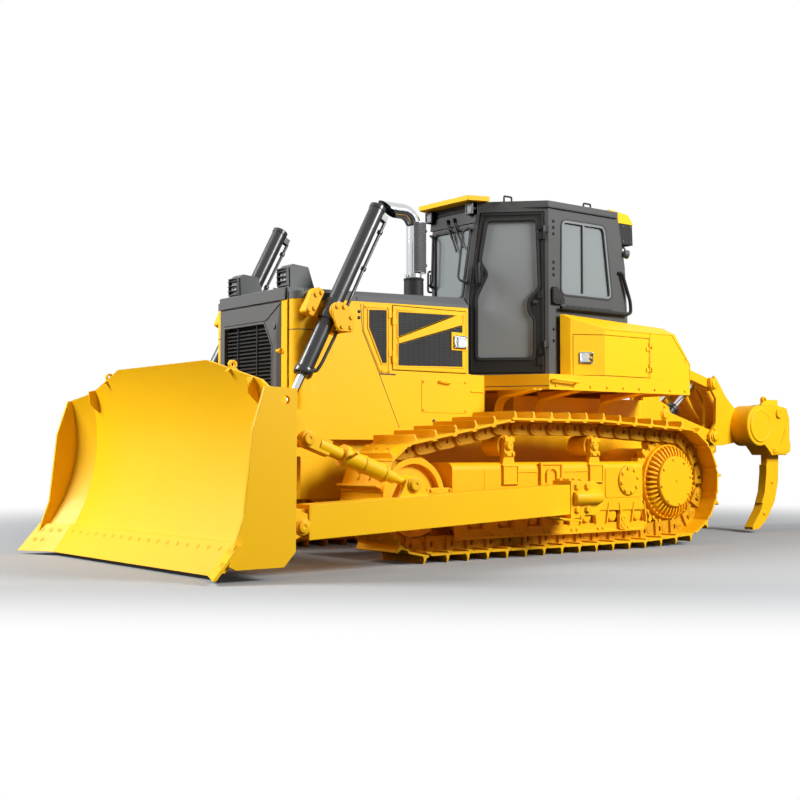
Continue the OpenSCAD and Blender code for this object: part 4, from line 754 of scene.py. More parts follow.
@dataclass
class Blade:
    """The bolts of the blade's cutting edge, its lifting eyes and the ribs behind its top."""

    edge: float = 3.584
    mid_half: float = 1.242
    wing: float = math.radians(25)
    head: Pair = (3.4148, 0.244)
    slope: float = -0.787

    def swept(self, shape: Shape) -> Shape:
        """Turns a shape about the upright line where the left wing meets the middle, by the wing's sweep."""
        c, s = math.cos(-self.wing), math.sin(-self.wing)
        turn = np.array([[c, s, 0], [-s, c, 0], [0, 0, 1]])
        pivot = np.array([self.edge, self.mid_half, 0])
        return shape.moved(-pivot).moved(pivot, turn)

    def edge_bolts(self, across: Array, height: float) -> Shape:
        """Round countersunk heads on the edge's sloping face at the given places across."""
        way = np.array([1.0, 0.0, -self.slope])
        x = self.head[0] + self.slope * (height - self.head[1])
        spots = np.c_[np.full(len(across), x), across, np.full(len(across), height)]
        head = revolve([[.019, -.004], [.019, .0015], [.016, .003], [.008, .003], [.006, .0]], ORIGIN, UP, 16)
        return head.copies(spots, axes_along(way))

    def build(self) -> None:
        """Builds the pieces that ride with the blade."""
        row = self.edge_bolts(np.linspace(-1.17, 1.17, 17), 0.195)
        ends = self.swept(self.edge_bolts(self.mid_half + np.array([.06, .15, .24]), 0.195)
                          + self.edge_bolts(self.mid_half + np.array([.19, .27]), 0.120)).both()
        piece("edge_bolts", row + ends, CASTING, "blade")
        tab = eye_plate((3.245, .97, 1.385), .085, .030)
        rib = prism([[3.195, 1.15], [3.235, 1.345], [3.300, 1.330], [3.288, 1.235]],
                    self.mid_half - .008, self.mid_half + .008)
        piece("blade_tabs", (tab + rib).both(), YELLOW, "blade", bevel=.002)


@dataclass
class LiftCylinder:
    """One lift cylinder: gland, cap, collar and the steel pipe that runs beside its barrel."""

    side: str
    sign: float
    pin: Triple = LIFT_PIN
    way: Triple = LIFT_WAY
    barrel: float = 0.062
    top: float = -0.968
    gland: float = 0.540

    def at(self, along: float, out: float = 0.0, across: float = 0.0) -> Array:
        """A point along the cylinder, moved square to it in its own plane and across the machine."""
        w = np.array(self.way)
        square = np.array([-w[2], 0.0, w[0]])
        return np.array(self.pin) + w * along + square * out + np.array([0, across, 0])

    def build(self) -> None:
        """Builds the barrel's fittings."""
        r, body = self.barrel, f"lift_barrel_{self.side}"
        gland = washer([[.034, -.045], [r + .010, -.045], [r + .012, -.040], [r + .012, -.004], [r + .008, .004],
                        [.042, .010], [.034, .010]], self.at(self.gland), self.way, 32)
        cap = revolve([[r + .004, 0], [r + .004, .03], [r + .001, .034], [.02, .034]], self.at(self.top), self.way, 32)
        collar = washer([[r - .001, -.085], [r + .010, -.085], [r + .0125, -.078], [r + .0125, .060], [r + .008, .075],
                         [r - .001, .075]], self.at(0), self.way)
        bolts = hex_bolts(ring_of(8, r - .006, self.at(self.gland + .008), self.way), self.way, .018)
        head = revolve([[.03, -.008], [.055, -.006], [.058, 0], [.058, .01]], self.at(self.top), self.way, 32)
        lugs = prism(rect(-.026, -.036, .026, .02), -.024, .024).moved(
            self.at(self.top + .05, -r - .01), np.array([[self.way[0], 0, self.way[2]], [0, 1, 0],
                                                         [-self.way[2], 0, self.way[0]]]))
        dark = joined([gland, cap, head, collar, lugs])
        piece(f"{body}_fittings", dark.sided(self.sign), BARREL, body)
        pipe = tube(rounded([self.at(self.top + .05, -r), self.at(self.top + .05, -r - .05), self.at(-.42, -r - .045),
                             self.at(-.20, -r - .02, .05), self.at(.06, -r - .02, .05), self.at(.14, -r - .05, .02),
                             self.at(.40, -r - .04, .02), self.at(.47, -r - .03, .01), self.at(.47, -r + .01, .0)],
                            .06), .013)
        clip = washer(rect(.012, -.012, .022, .012), ORIGIN, self.way, 12)
        clips = [clip.moved(self.at(a, -r - .046)) for a in (-.80, -.46)]
        nuts = [hex_bolts([self.at(a, -r - .012)], (-.884, 0, -.468), .036) for a in (self.top + .05, .47)]
        piece(f"{body}_pipe", (joined([pipe, *clips, *nuts]) + bolts).sided(self.sign), BARREL, body)


def boxes(low: Any, high: Any) -> Shape:
    """Upright boxes between pairs of opposite corners, all at once.

    Args:
        low: Lowest corners, k by 3 or one.
        high: Highest corners, likewise.
    Returns:
        One shape of k boxes.
    """
    a, b = np.asarray(low, float).reshape(-1, 3), np.asarray(high, float).reshape(-1, 3)
    pick = np.array([[i, j, k] for k in (0, 1) for j in (0, 1) for i in (0, 1)])
    points = np.where(pick[None] == 0, a[:, None], b[:, None]).reshape(-1, 3)
    quads = np.array([[0, 2, 3, 1], [4, 5, 7, 6], [0, 1, 5, 4], [2, 6, 7, 3], [0, 4, 6, 2], [1, 3, 7, 5]])
    corners = (quads.ravel()[None] + 8 * np.arange(len(a))[:, None]).ravel()
    return Shape(points, corners, np.full(6 * len(a), 4))


def spans(outline: Line, levels: Array, axis: int) -> tuple[Array, Array]:
    """Where straight lines cross a convex outline.

    Args:
        outline: Corners of the outline.
        levels: Values on the chosen axis, one for each line.
        axis: The axis that stays the same along each line, 0 or 1.
    Returns:
        First and last crossing of each line on the other axis.
    """
    a = np.asarray(outline, float)
    b = np.roll(a, -1, 0)
    rise = b[:, axis] - a[:, axis]
    share = (levels[:, None] - a[None, :, axis]) / np.where(rise == 0, np.nan, rise)[None]
    cross = a[None, :, 1 - axis] + share * (b - a)[None, :, 1 - axis]
    cross = np.where((share >= 0) & (share <= 1), cross, np.nan)
    return np.nanmin(cross, 1), np.nanmax(cross, 1)


def screen(outline: Line, face: float, step: Pair = (.0185, .055),
           wire: Pair = (.006, .003), plane: Plane = Plane.XZ) -> Shape:
    """A screen in a convex outline: flat bars across on a layer of thinner upright ones.

    Args:
        outline: Corners in the plane.
        face: Where the plane lies on its through axis; the screen stands out from there.
        step: Spacing of the bars across and of the upright ones.
        wire: Height of the two layers over the face.
        plane: The plane.
    Returns:
        The screen.
    """
    flat = np.asarray(outline, float)
    low, high = flat.min(0), flat.max(0)
    across, up, through = plane.value
    rows = np.arange(low[1] + step[0] / 2, high[1], step[0])
    lines = np.arange(low[0] + step[1] / 2, high[0], step[1])
    shapes = []
    for axis, levels, thick, lift in ((1, rows, 0.25 * step[0], wire[0]), (0, lines, 0.05 * step[1], wire[1])):
        first, last = spans(flat, levels, axis)
        a, b = np.zeros((len(levels), 3)), np.zeros((len(levels), 3))
        along, fixed = (across, up) if axis == 1 else (up, across)
        a[:, along], b[:, along] = first, last
        a[:, fixed], b[:, fixed] = levels - thick, levels + thick
        a[:, through], b[:, through] = face, face + lift
        shapes.append(boxes(a, b))
    return joined(shapes)


def pins(places: Any, way: Sequence[float], radius: float, proud: float) -> Shape:
    """Pin ends with a chamfer, a keeper plate's rim and a centre hole, at many places."""
    r = radius
    one = revolve([[1.3 * r, -.002], [1.3 * r, .35 * proud], [r, .42 * proud], [r, .86 * proud], [.86 * r, proud],
                   [.3 * r, proud], [.22 * r, .8 * proud]], ORIGIN, UP, 24)
    return one.copies(places, axes_along(way))


def eye_plate(place: Sequence[float], height: float, thick: float) -> Shape:
    """A lifting eye: a plate with a round head and a hole, standing on its place, thick across the machine."""
    turn = np.linspace(-0.25 * math.pi, 1.25 * math.pi, 18)
    r = 0.36 * height
    head = np.c_[r * np.cos(turn), 0.62 * height + r * np.sin(turn)]
    hole = 0.5 * np.c_[r * np.cos(turn), r * np.sin(turn)] + [0, 0.62 * height]
    outer = np.vstack([[0.62 * height, 0], head, [-0.62 * height, 0]])
    inner = np.vstack([[0.1 * r, 0.62 * height - 0.5 * r], hole, [-0.1 * r, 0.62 * height - 0.5 * r]])
    return framed(outer, inner, -thick / 2, thick / 2).moved(place)


@dataclass
class Hood:
    """Engine hood: screens and frames of its doors and side panels, latches, covers, plugs and seams."""

    face: float = 0.500
    fixed: Outline = ((1.723, 1.962), (1.547, 1.971), (1.547, 1.547), (1.587, 1.545), (1.723, 1.825))
    upper: Outline = ((1.425, 1.965), (0.835, 1.978), (1.425, 1.765))
    lower: Outline = ((1.425, 1.700), (0.741, 1.893), (0.741, 1.549), (1.425, 1.532))

    def rim(self, outline: Line, wide: float) -> Shape:
        """A raised frame round a screen."""
        return border(outline, -wide, self.face - .001, self.face + .007)

    def doors(self) -> None:
        """Screens, frames and latches, which swing with the engine doors."""
        for side, sign in SIDES:
            body = f"engine_door_{side}"
            mesh = screen(self.upper, self.face) + screen(self.lower, self.face)
            piece(f"{body}_screens", mesh.sided(sign), SCREEN, body)
            # Black sheets under the screens: painted shade seen through the gaps between the bars.
            back = joined([prism(line, self.face - .002, self.face + .001) for line in (self.upper, self.lower)])
            piece(f"{body}_screen_painted_shade", back.sided(sign), RUBBER_AND_SHADE, body)
            bar = prism([[1.425, 1.765], [.835, 1.978], [.741, 1.990], [.741, 1.893], [1.425, 1.700]],
                        self.face - .001, self.face + .007)
            edge = border(rect(1.480, 2.011, .700, 1.499), .030, self.face - .001, self.face + .006)
            plate = prism(rect(.704, 1.684, .865, 1.836), self.face, self.face + .012)
            frame_shape = joined([self.rim(self.upper, .012), self.rim(self.lower, .012), bar, edge, plate])
            piece(f"{body}_frame", frame_shape.sided(sign), YELLOW, body, bevel=.002)
            dish = border(soft(rect(.706, 1.702, .842, 1.808), .012), .014, self.face + .010, self.face + .026)
            paddle = prism(soft(rect(.715, 1.712, .800, 1.800), .01), self.face + .012, self.face + .024)
            lock = revolve([[.011, 0], [.011, .014], [.008, .016], [.003, .016], [.002, .012]],
                           (.820, self.face + .012, 1.760), ACROSS, 16)
            floor = prism(soft(rect(.708, 1.704, .840, 1.806), .012), self.face + .010, self.face + .014)
            piece(f"{body}_latch", joined([dish, paddle, lock, floor]).sided(sign), ZINC, body, bevel=.001)

    def panels(self) -> None:
        """Fixed side panels, access covers, seams and plugs."""
        y = self.face
        piece("side_panel_screens", screen(self.fixed, y).both(), SCREEN)
        # Black sheets under the screens: painted shade seen through the gaps between the bars.
        piece("side_panel_screen_painted_shade", prism(self.fixed, y - .002, y + .001).both(), RUBBER_AND_SHADE)
        outer = [[1.775, 2.003], [1.506, 2.003], [1.506, 1.470], [1.608, 1.470], [1.775, 1.800]]
        rim = self.rim(self.fixed, .012) + border(outer, .020, y - .001, y + .005)
        cover = prism(soft([[1.180, 1.158], [.684, 1.158], [.684, 1.440], [1.180, 1.433]], .015), y - .001, y + .004)
        handle = tube(rounded([[1.0, y, 1.418], [1.0, y + .028, 1.418], [.885, y + .028, 1.404],
                               [.885, y, 1.404]], .014), .007, 8)
        screws = hex_bolts([[1.755, y + .004, 1.985], [1.528, y + .004, 1.988], [1.590, y + .004, 1.484],
                            [1.520, y + .004, 1.484],
                            [1.160, y + .004, 1.412], [.705, y + .004, 1.418], [1.160, y + .004, 1.180],
                            [.705, y + .004, 1.180]], ACROSS, .024)
        tap = revolve([[.016, 0], [.016, .014], [.009, .018], [.009, .042], [.005, .046]],
                      (1.926, y, 1.869), ACROSS, 14)
        piece("side_panel_frames", joined([rim, cover, handle, screws, tap]).both(), YELLOW, bevel=.0015)
        seam = tube(np.array([[1.800, y, 2.004], [1.784, y, 1.796], [1.617, y, 1.461], [1.412, y, 1.03]]), .0028, 6)
        slot = boxes([1.449, y - .002, 1.452], [1.611, y + .002, 1.463])
        plugs = revolve([[.014, -.001], [.014, .004], [.010, .007], [.003, .008]], ORIGIN, ACROSS, 16).copies(
            [[1.817, y, 1.943], [1.817, y, 1.895], [1.05, y, 1.09]])
        piece("side_panel_seams", joined([seam, slot, plugs]).both(), RUBBER_AND_SHADE)

    def top(self) -> None:
        """Seams of the hood's top."""
        ridge = [[.700, 2.115], [1.55, 2.128], [2.30, 2.140]]
        strip = boxes([1.835, -.50, 2.030], [1.843, .5015, 2.060]) + boxes([2.330, -.501, 2.045], [2.338, .501, 2.075])
        middle = tube(np.array([[x, 0.0, z] for x, z in ridge]), .004, 6)
        piece("hood_seams", joined([strip.both(), middle]), RUBBER_AND_SHADE)

    def build(self) -> None:
        """Builds the hood's pieces."""
        self.doors()
        self.panels()
        self.top()


@dataclass
class FrontMask:
    """Radiator mask: slats in its opening, bare panels, side facets, corner bands and the two headlamps."""

    face: float = 2.488
    hole: Outline = ((-.425, 1.202), (.276, 1.202), (.276, 1.655), (.167, 1.828), (-.425, 1.828))

    def build(self) -> None:
        """Builds the mask's pieces."""
        x = self.face
        levels = np.arange(1.222, 1.82, .030)
        first, last = spans(self.hole, levels, 1)
        slat = boxes(np.c_[np.full(len(levels), x - .044), first, levels - .006],
                     np.c_[np.full(len(levels), x - .018), last, levels + .006])
        posts = boxes([[x - .030, -.248, 1.202], [x - .030, .040, 1.202]],
                      [[x - .010, -.236, 1.828], [x - .010, .052, 1.828]])
        piece("radiator_slats", slat + posts, SCREEN)
        rim = border(self.hole, -.012, x - .002, x + .006, Plane.YZ)
        brow = prism(rect(-.490, 1.990, .486, 2.082), x - .001, x + .016, Plane.YZ)
        panel = prism([[-.470, 1.975], [.415, 1.975], [.195, 1.850], [-.440, 1.850]], x - .001, x + .006, Plane.YZ)
        facet = np.array([[[x + .006, .430, 1.975], [x + .006, .296, 1.670], [x + .006, .296, 1.20],
                           [x + .006, .330, 1.17]],
                          [[x - .006, .440, 1.975], [x - .006, .372, 1.670], [x - .006, .372, 1.20],
                           [x - .006, .372, 1.17]]])
        wedge = np.concatenate([facet, facet[::-1] - [.03, 0, 0]], 0)
        cheek = outward(loft(np.swapaxes(wedge, 0, 1)))
        knob = revolve([[.024, 0], [.024, .006], [.018, .01], [.006, .01]], (x, .318, 1.80), AHEAD, 20)
        piece("mask_panels", joined([rim, brow, panel, cheek, knob]), GREY, bevel=.002)
        catch = revolve([[.012, -.02], [.012, .03], [.018, .032], [.018, .05], [.006, .054]],
                        (x + .010, .385, 1.605), (.1, 1, 0), 16)
        tab = boxes([x + .002, .395, 1.585], [x + .014, .455, 1.600])
        piece("mask_catch", catch + tab, YELLOW, bevel=.001)
        lip = prism(rect(.420, 1.155, .503, 1.990), x - .002, x + .006, Plane.YZ)
        piece("mask_lips", lip, YELLOW, bevel=.002)
        edge = prism([[.358, 1.155], [.422, 1.155], [.422, 1.990], [.412, 1.990], [.358, 1.720]],
                     x - .002, x + .009, Plane.YZ)
        piece("mask_edges", edge, RUBBER_AND_SHADE)
        self.corners()
        self.lamps()

    def corners(self) -> None:
        """Grey band round the guard's top and a seam lower down; both follow its rounded corner."""
        turn = np.radians(np.linspace(90, 0, 11))
        arc = np.c_[2.410 + .0725 * np.cos(turn), .530 + .0725 * np.sin(turn)]
        band = np.vstack([[[2.128, .490], [2.128, .6025]], arc, [[2.4825, .490]]])
        piece("guard_bands", prism(band, 1.992, 2.053, Plane.XY).both(), GREY, bevel=.0015)
        piece("guard_seams", prism(band - [.001, .001], 1.757, 1.763, Plane.XY).both(), RUBBER_AND_SHADE)

    def lamps(self) -> None:
        """Headlamps: a recess with a lens, shaded by three fins."""
        x = 2.428
        box_line = rect(.298, 2.104, .432, 2.246)
        hood = border(box_line, .010, x - .01, x + .030, Plane.YZ)
        fins = boxes([[x, .304, z] for z in (2.138, 2.176, 2.214)],
                     [[x + .040, .426, z + .006] for z in (2.138, 2.176, 2.214)])
        foot = prism([[2.300, 2.090], [2.470, 2.090], [2.440, 2.106], [2.330, 2.106]], .300, .430)
        feet = boxes([2.36, .33, 2.07], [2.40, .40, 2.10])
        piece("headlamp_hoods", joined([hood, fins, foot, feet]).both(), TRIM, bevel=.0015)
        glass = prism(rect(.309, 2.115, .421, 2.235), x, x + .006, Plane.YZ)
        ring = washer(rect(.030, 0, .040, .010), (x + .004, .365, 2.175), AHEAD, 24)
        piece("headlamp_lenses", (glass + ring).both(), LENS, bevel=.001)


@dataclass
class Exhaust:
    """Exhaust stack: collar, clamp band, perforated heat shield and the sooty inside of its mouth."""

    axis: Pair = (1.020, 0.200)
    toward: float = math.radians(141.8)

    def build(self) -> None:
        """Builds the stack's pieces."""
        x, y = self.axis
        collar = revolve([[.100, 2.100], [.100, 2.126], [.0850, 2.132], [.0835, 2.282], [.0860, 2.286],
                          [.0860, 2.303], [.066, 2.308]],
                         (x, y, 0), UP, 40)
        foot = hex_bolts(ring_of(6, .092, (x, y, 2.126), UP), UP, .014)
        piece("exhaust_collar", collar + foot, CHARCOAL)
        turn = self.toward + np.radians(np.linspace(-89, 89, 40))
        level = np.arange(2.356, 2.766, .0165)
        radius = np.array([.1045, .1072, .1072, .1045])
        rise = np.array([0, 0, .008, .008])
        ring = np.stack([x + radius[:, None] * np.cos(turn), y + radius[:, None] * np.sin(turn),
                         np.repeat(rise[:, None], len(turn), 1)], -1)
        strip = outward(loft(np.swapaxes(ring, 0, 1)))
        back = strip.points * [1, 1, 0] + [0, 0, 2.352] + strip.points[:, 2:] / .008 * [0, 0, .421]
        shell = Shape((back - [x, y, 0]) * [.976, .976, 1] + [x, y, 0], strip.corners, strip.counts)
        rows = strip.copies(np.c_[np.zeros((len(level), 2)), level])
        lath = boxes([.1040, -.0022, 2.352], [.1062, .0022, 2.773])
        angle = self.toward + np.radians(np.linspace(-88, 88, 31))
        frames = np.stack([np.c_[np.cos(angle), np.sin(angle), 0 * angle],
                           np.c_[-np.sin(angle), np.cos(angle), 0 * angle],
                           np.tile([0.0, 0.0, 1.0], (len(angle), 1))], 1)
        laths = lath.copies(np.tile([x, y, 0], (len(angle), 1)), frames)
        out = np.array([math.cos(self.toward), math.sin(self.toward), 0])
        spots = [np.array([x, y, z]) + .1075 * out for z in (2.415, 2.710)]
        piece("exhaust_shield", joined([rows, laths, hex_bolts(spots, out, .022)]), GREY)
        piece("exhaust_shield_back", shell, RUBBER_AND_SHADE)
        end = revolve([[.0574, 0], [.0574, .002]], (1.171, y, 2.865), AHEAD, 24)
        band = washer(rect(.0645, -.014, .0675, .014), (x, y, 2.325), UP, 32)
        piece("exhaust_soot", end, RUBBER_AND_SHADE)
        piece("exhaust_clamp", band + boxes([x + .060, y - .012, 2.315], [x + .090, y + .012, 2.335]), ZINC)


@dataclass
class Cab:
    """Cab outside: seals, rails, wipers, lamps, lifting eyes and door fittings.

    The windscreen's wall leans from screen_foot to screen_head, in (x, z). The left door starts at corner, runs along
    its direction and faces out, in (x, y), and door_window is drawn along it and up.
    """

    screen_foot: Pair = (0.470, 2.150)
    screen_head: Pair = (0.400, 2.960)
    corner: Pair = (-0.040, 0.750)
    along: Pair = (0.6934, -0.7206)
    out: Pair = (0.7206, 0.6934)
    side: float = 0.750
    door_window: Outline = (
        (.130, 1.646), (.622, 1.646), (.622, 2.185), (.525, 2.388), (.590, 2.500), (.530, 2.854), (.108, 2.854),
        (.086, 2.262), (.182, 2.150), (.175, 2.040), (.130, 1.985))

    def on_screen(self, shape: Shape) -> Shape:
        """Lays a shape drawn in (across, height, outwards) on the leaning windscreen wall."""
        (x0, z0), (x1, z1) = self.screen_foot, self.screen_head
        up = np.array([x1 - x0, 0, z1 - z0]) / math.hypot(x1 - x0, z1 - z0)
        return shape.moved((x0, 0, z0), np.array([[0, 1, 0], up, np.cross([0, 1, 0], up)]))

    def on_door(self, shape: Shape) -> Shape:
        """Lays a shape drawn in (along, height, outwards) on the left door."""
        u, n = self.along, self.out
        return shape.moved((*self.corner, 0), np.array([[u[0], u[1], 0], [0, 0, 1], [n[0], n[1], 0]]))

    def windscreen(self) -> None:
        """Seal, wipers and the two grab rails in front of the screen."""
        line = soft([[-.185, .030], [.185, .030], [.248, .652], [-.248, .652]], .050)
        seal = border(line, -.020, -.004, .009, Plane.XY) + border(line, .010, -.012, .005, Plane.XY)
        header = prism(rect(-.30, .690, .30, .790), -.002, .012, Plane.XY)
        piece("windscreen_seal", self.on_screen(seal + header), RUBBER_AND_SHADE, bevel=.001)
        arms = []
        for foot, tip in (((-.050, .745), (.080, .500)), ((.040, .745), (.165, .520))):
            reach = np.array([tip[0] - foot[0], tip[1] - foot[1], 0])
            across = np.array([reach[1], -reach[0], 0]) / np.linalg.norm(reach)
            base = np.array([*foot, .016])
            arm = tube(rounded([base, base + [0, 0, .022], base + .5 * reach + [0, 0, .024],
                                base + .72 * reach + [0, 0, .014]], .02), .008, 8)
            blade = tube(np.array([base + .28 * reach + .014 * across + [0, 0, -.004],
                                   base + 1.15 * reach + .014 * across + [0, 0, -.004]]), .009, 8)
            hub = revolve([[.020, -.008], [.020, .012], [.012, .028], [.005, .030]], base, UP, 18)
            arms += [arm, blade, hub]
        piece("wipers", self.on_screen(joined(arms)), RUBBER_AND_SHADE)
        rail = tube(rounded([[.262, .640, -.002], [.262, .640, .045], [.205, .615, .052],
                             [.180, .200, .052], [.222, .172, .045],
                             [.222, .172, -.002]], .035), .011, 10)
        feet = revolve([[.024, -.002], [.024, .006], [.014, .010]], ORIGIN, UP, 16).copies(
            [[.262, .640, 0], [.222, .172, 0]])
        piece("cab_grab_rails", self.on_screen(rail + feet).both(), RUBBER_AND_SHADE)

    def windows(self) -> None:
        """Seals and sliding frames of the rear side windows, and the seal of the rear window."""
        y = self.side
        hole = [[-.840, 2.215], [-.752, 2.868], [-.205, 2.868], [-.195, 2.215]]
        line = soft(hole, .060)
        rubber = border(line, -.016, y - .006, y + .006).both()
        rear = soft(rect(-.520, .060, .520, .816), .05)
        up = np.array([190, 0, 910]) / math.hypot(190, 910)
        lay = np.array([[0, 1, 0], up, np.cross(up, [0, 1, 0])])
        back = border(rear, -.022, -.003, .010, Plane.XY).moved((-1.120, 0, 2.050), lay)
        piece("window_seals", rubber + back, RUBBER_AND_SHADE, bevel=.001)
        frame_line = border(line, .020, y - .012, y + .004)
        post = boxes([-.490, y - .014, 2.228], [-.468, y + .001, 2.856])
        piece("sliding_window_frames", (frame_line + post).both(), ANODISED, bevel=.001)
        slots = boxes([[x, y - .001, 2.112] for x in np.arange(-.84, -.24, .075)],
                      [[x + .060, y + .003, 2.124] for x in np.arange(-.84, -.24, .075)])
        piece("cab_vents", slots.both(), RUBBER_AND_SHADE)

    def fittings(self) -> None:
        """Pillar bolts, door catch, lifting eyes, roof gutter, lamps and the rails at the rear corners."""
        y = self.side
        bolts = hex_bolts([[-.100, y + .001, z] for z in (1.80, 1.90, 2.375, 2.430, 2.485, 2.735,
                                                          2.790, 2.845)], ACROSS, .024)
        catch = prism(soft([[-.070, 2.120], [-.205, 2.120], [-.205, 2.170], [-.120, 2.270], [-.070, 2.270]],
                           .02), y - .001, y + .032)
        fins = boxes([[x, y + .030, 2.135] for x in (-.10, -.13, -.16)],
                     [[x + .012, y + .036, 2.165] for x in (-.10, -.13, -.16)])
        piece("pillar_fittings", joined([bolts, catch, fins]).both(), CHARCOAL, bevel=.002)
        eyes = joined([tube(rounded([[x - .045, b, 3.012], [x - .045, b, 3.062], [x + .045, b, 3.062],
                                     [x + .045, b, 3.012]], .014), .0085, 8)
                       for x, b in ((.200, .493), (-.577, .700))])
        piece("cab_lifting_eyes", eyes.both(), CHARCOAL, bevel=.001)
        gutter = tube(rounded([[.400, .0, 2.962], [.400, .240, 2.962], [-.040, .757, 2.962],
                               [-.90, .757, 2.962]], .03), .010, 8)
        piece("roof_gutter", gutter.both(), TRIM)
        lens = prism(rect(.245, 2.925, .309, 2.990), .4535, .458, Plane.YZ)
        rear = prism(rect(.475, 2.775, .700, 2.890), -1.150, -1.146, Plane.YZ)
        piece("work_lamp_lenses", (lens + rear).both(), GLASS_GREY, bevel=.001)
        case = rect(.232, 2.910, .322, 3.004)
        ring = border(case, .014, .402, .466, Plane.YZ) + prism(case, .400, .452, Plane.YZ)
        screws = hex_bolts([[x, .7355, z] for x in (-1.115, -1.015) for z in (2.765, 2.900)], ACROSS, .018)
        spot = revolve([[.012, -.05], [.034, -.03], [.040, 0], [.040, .012], [.034, .016]],
                       (-1.030, .765, 2.640), (-1, .4, -.2), 20)
        arm = tube(rounded([[-1.0, .735, 2.70], [-1.0, .765, 2.70], [-1.02, .765, 2.655]], .015), .008, 8)
        piece("lamp_housings", joined([ring, screws, spot, arm]).both(), GREY, bevel=.002)
        rail = tube(rounded([[-.99, .788, 2.086], [-1.055, .788, 2.10], [-1.050, .788, 2.20],
                             [-.955, .775, 2.46], [-.925, .750, 2.46]],
                            .05), .016, 10)
        piece("rear_corner_rails", rail.both(), CHARCOAL)

    def doors(self) -> None:
        """Seal, handle, lock, raised edge and hinge leaves of each cab door."""
        line = soft(self.door_window, .034)
        seal = self.on_door(border(line, -.017, -.006, .008, Plane.XY) + border(line, .008, -.010, .004, Plane.XY))
        grip = self.on_door(tube(rounded([[.600, 2.290, .0], [.600, 2.290, .046], [.600, 2.480, .046],
                                          [.600, 2.480, .0]], .03), .010, 10))
        cup = self.on_door(border(soft(rect(.566, 2.310, .634, 2.470), .02), .012, -.001, .012, Plane.XY))
        lock = self.on_door(revolve([[.020, 0], [.020, .012], [.012, .016], [.004, .016]], (.118, 2.130, .0), UP, 18))
        edge = self.on_door(border([[.048, 1.524], [.683, 1.524], [.683, 2.150], [.585, 2.912], [.048, 2.912]],
                                   .016, -.001, .005, Plane.XY))
        hinges = joined([self.on_door(boxes([.050, z - .035, .001], [.100, z + .035, .010]))
                         for z in (1.62, 2.20, 2.80)])
        strip = self.on_door(boxes([.002, 1.520, -.064], [.078, 2.918, -.050]))
        piece("cab_door_seals", strip.both(), RUBBER_AND_SHADE)
        for side, sign in SIDES:
            body = f"cab_door_{side}"
            piece(f"{body}_seal", seal.sided(sign), RUBBER_AND_SHADE, body, bevel=.001)
            piece(f"{body}_handle", joined([grip, cup, lock]).sided(sign), BARREL, body)
            piece(f"{body}_edges", joined([edge, hinges]).sided(sign), CHARCOAL, body, bevel=.002)

    def build(self) -> None:
        """Builds everything on the cab's outside."""
        self.windscreen()
        self.windows()
        self.fittings()
        self.doors()


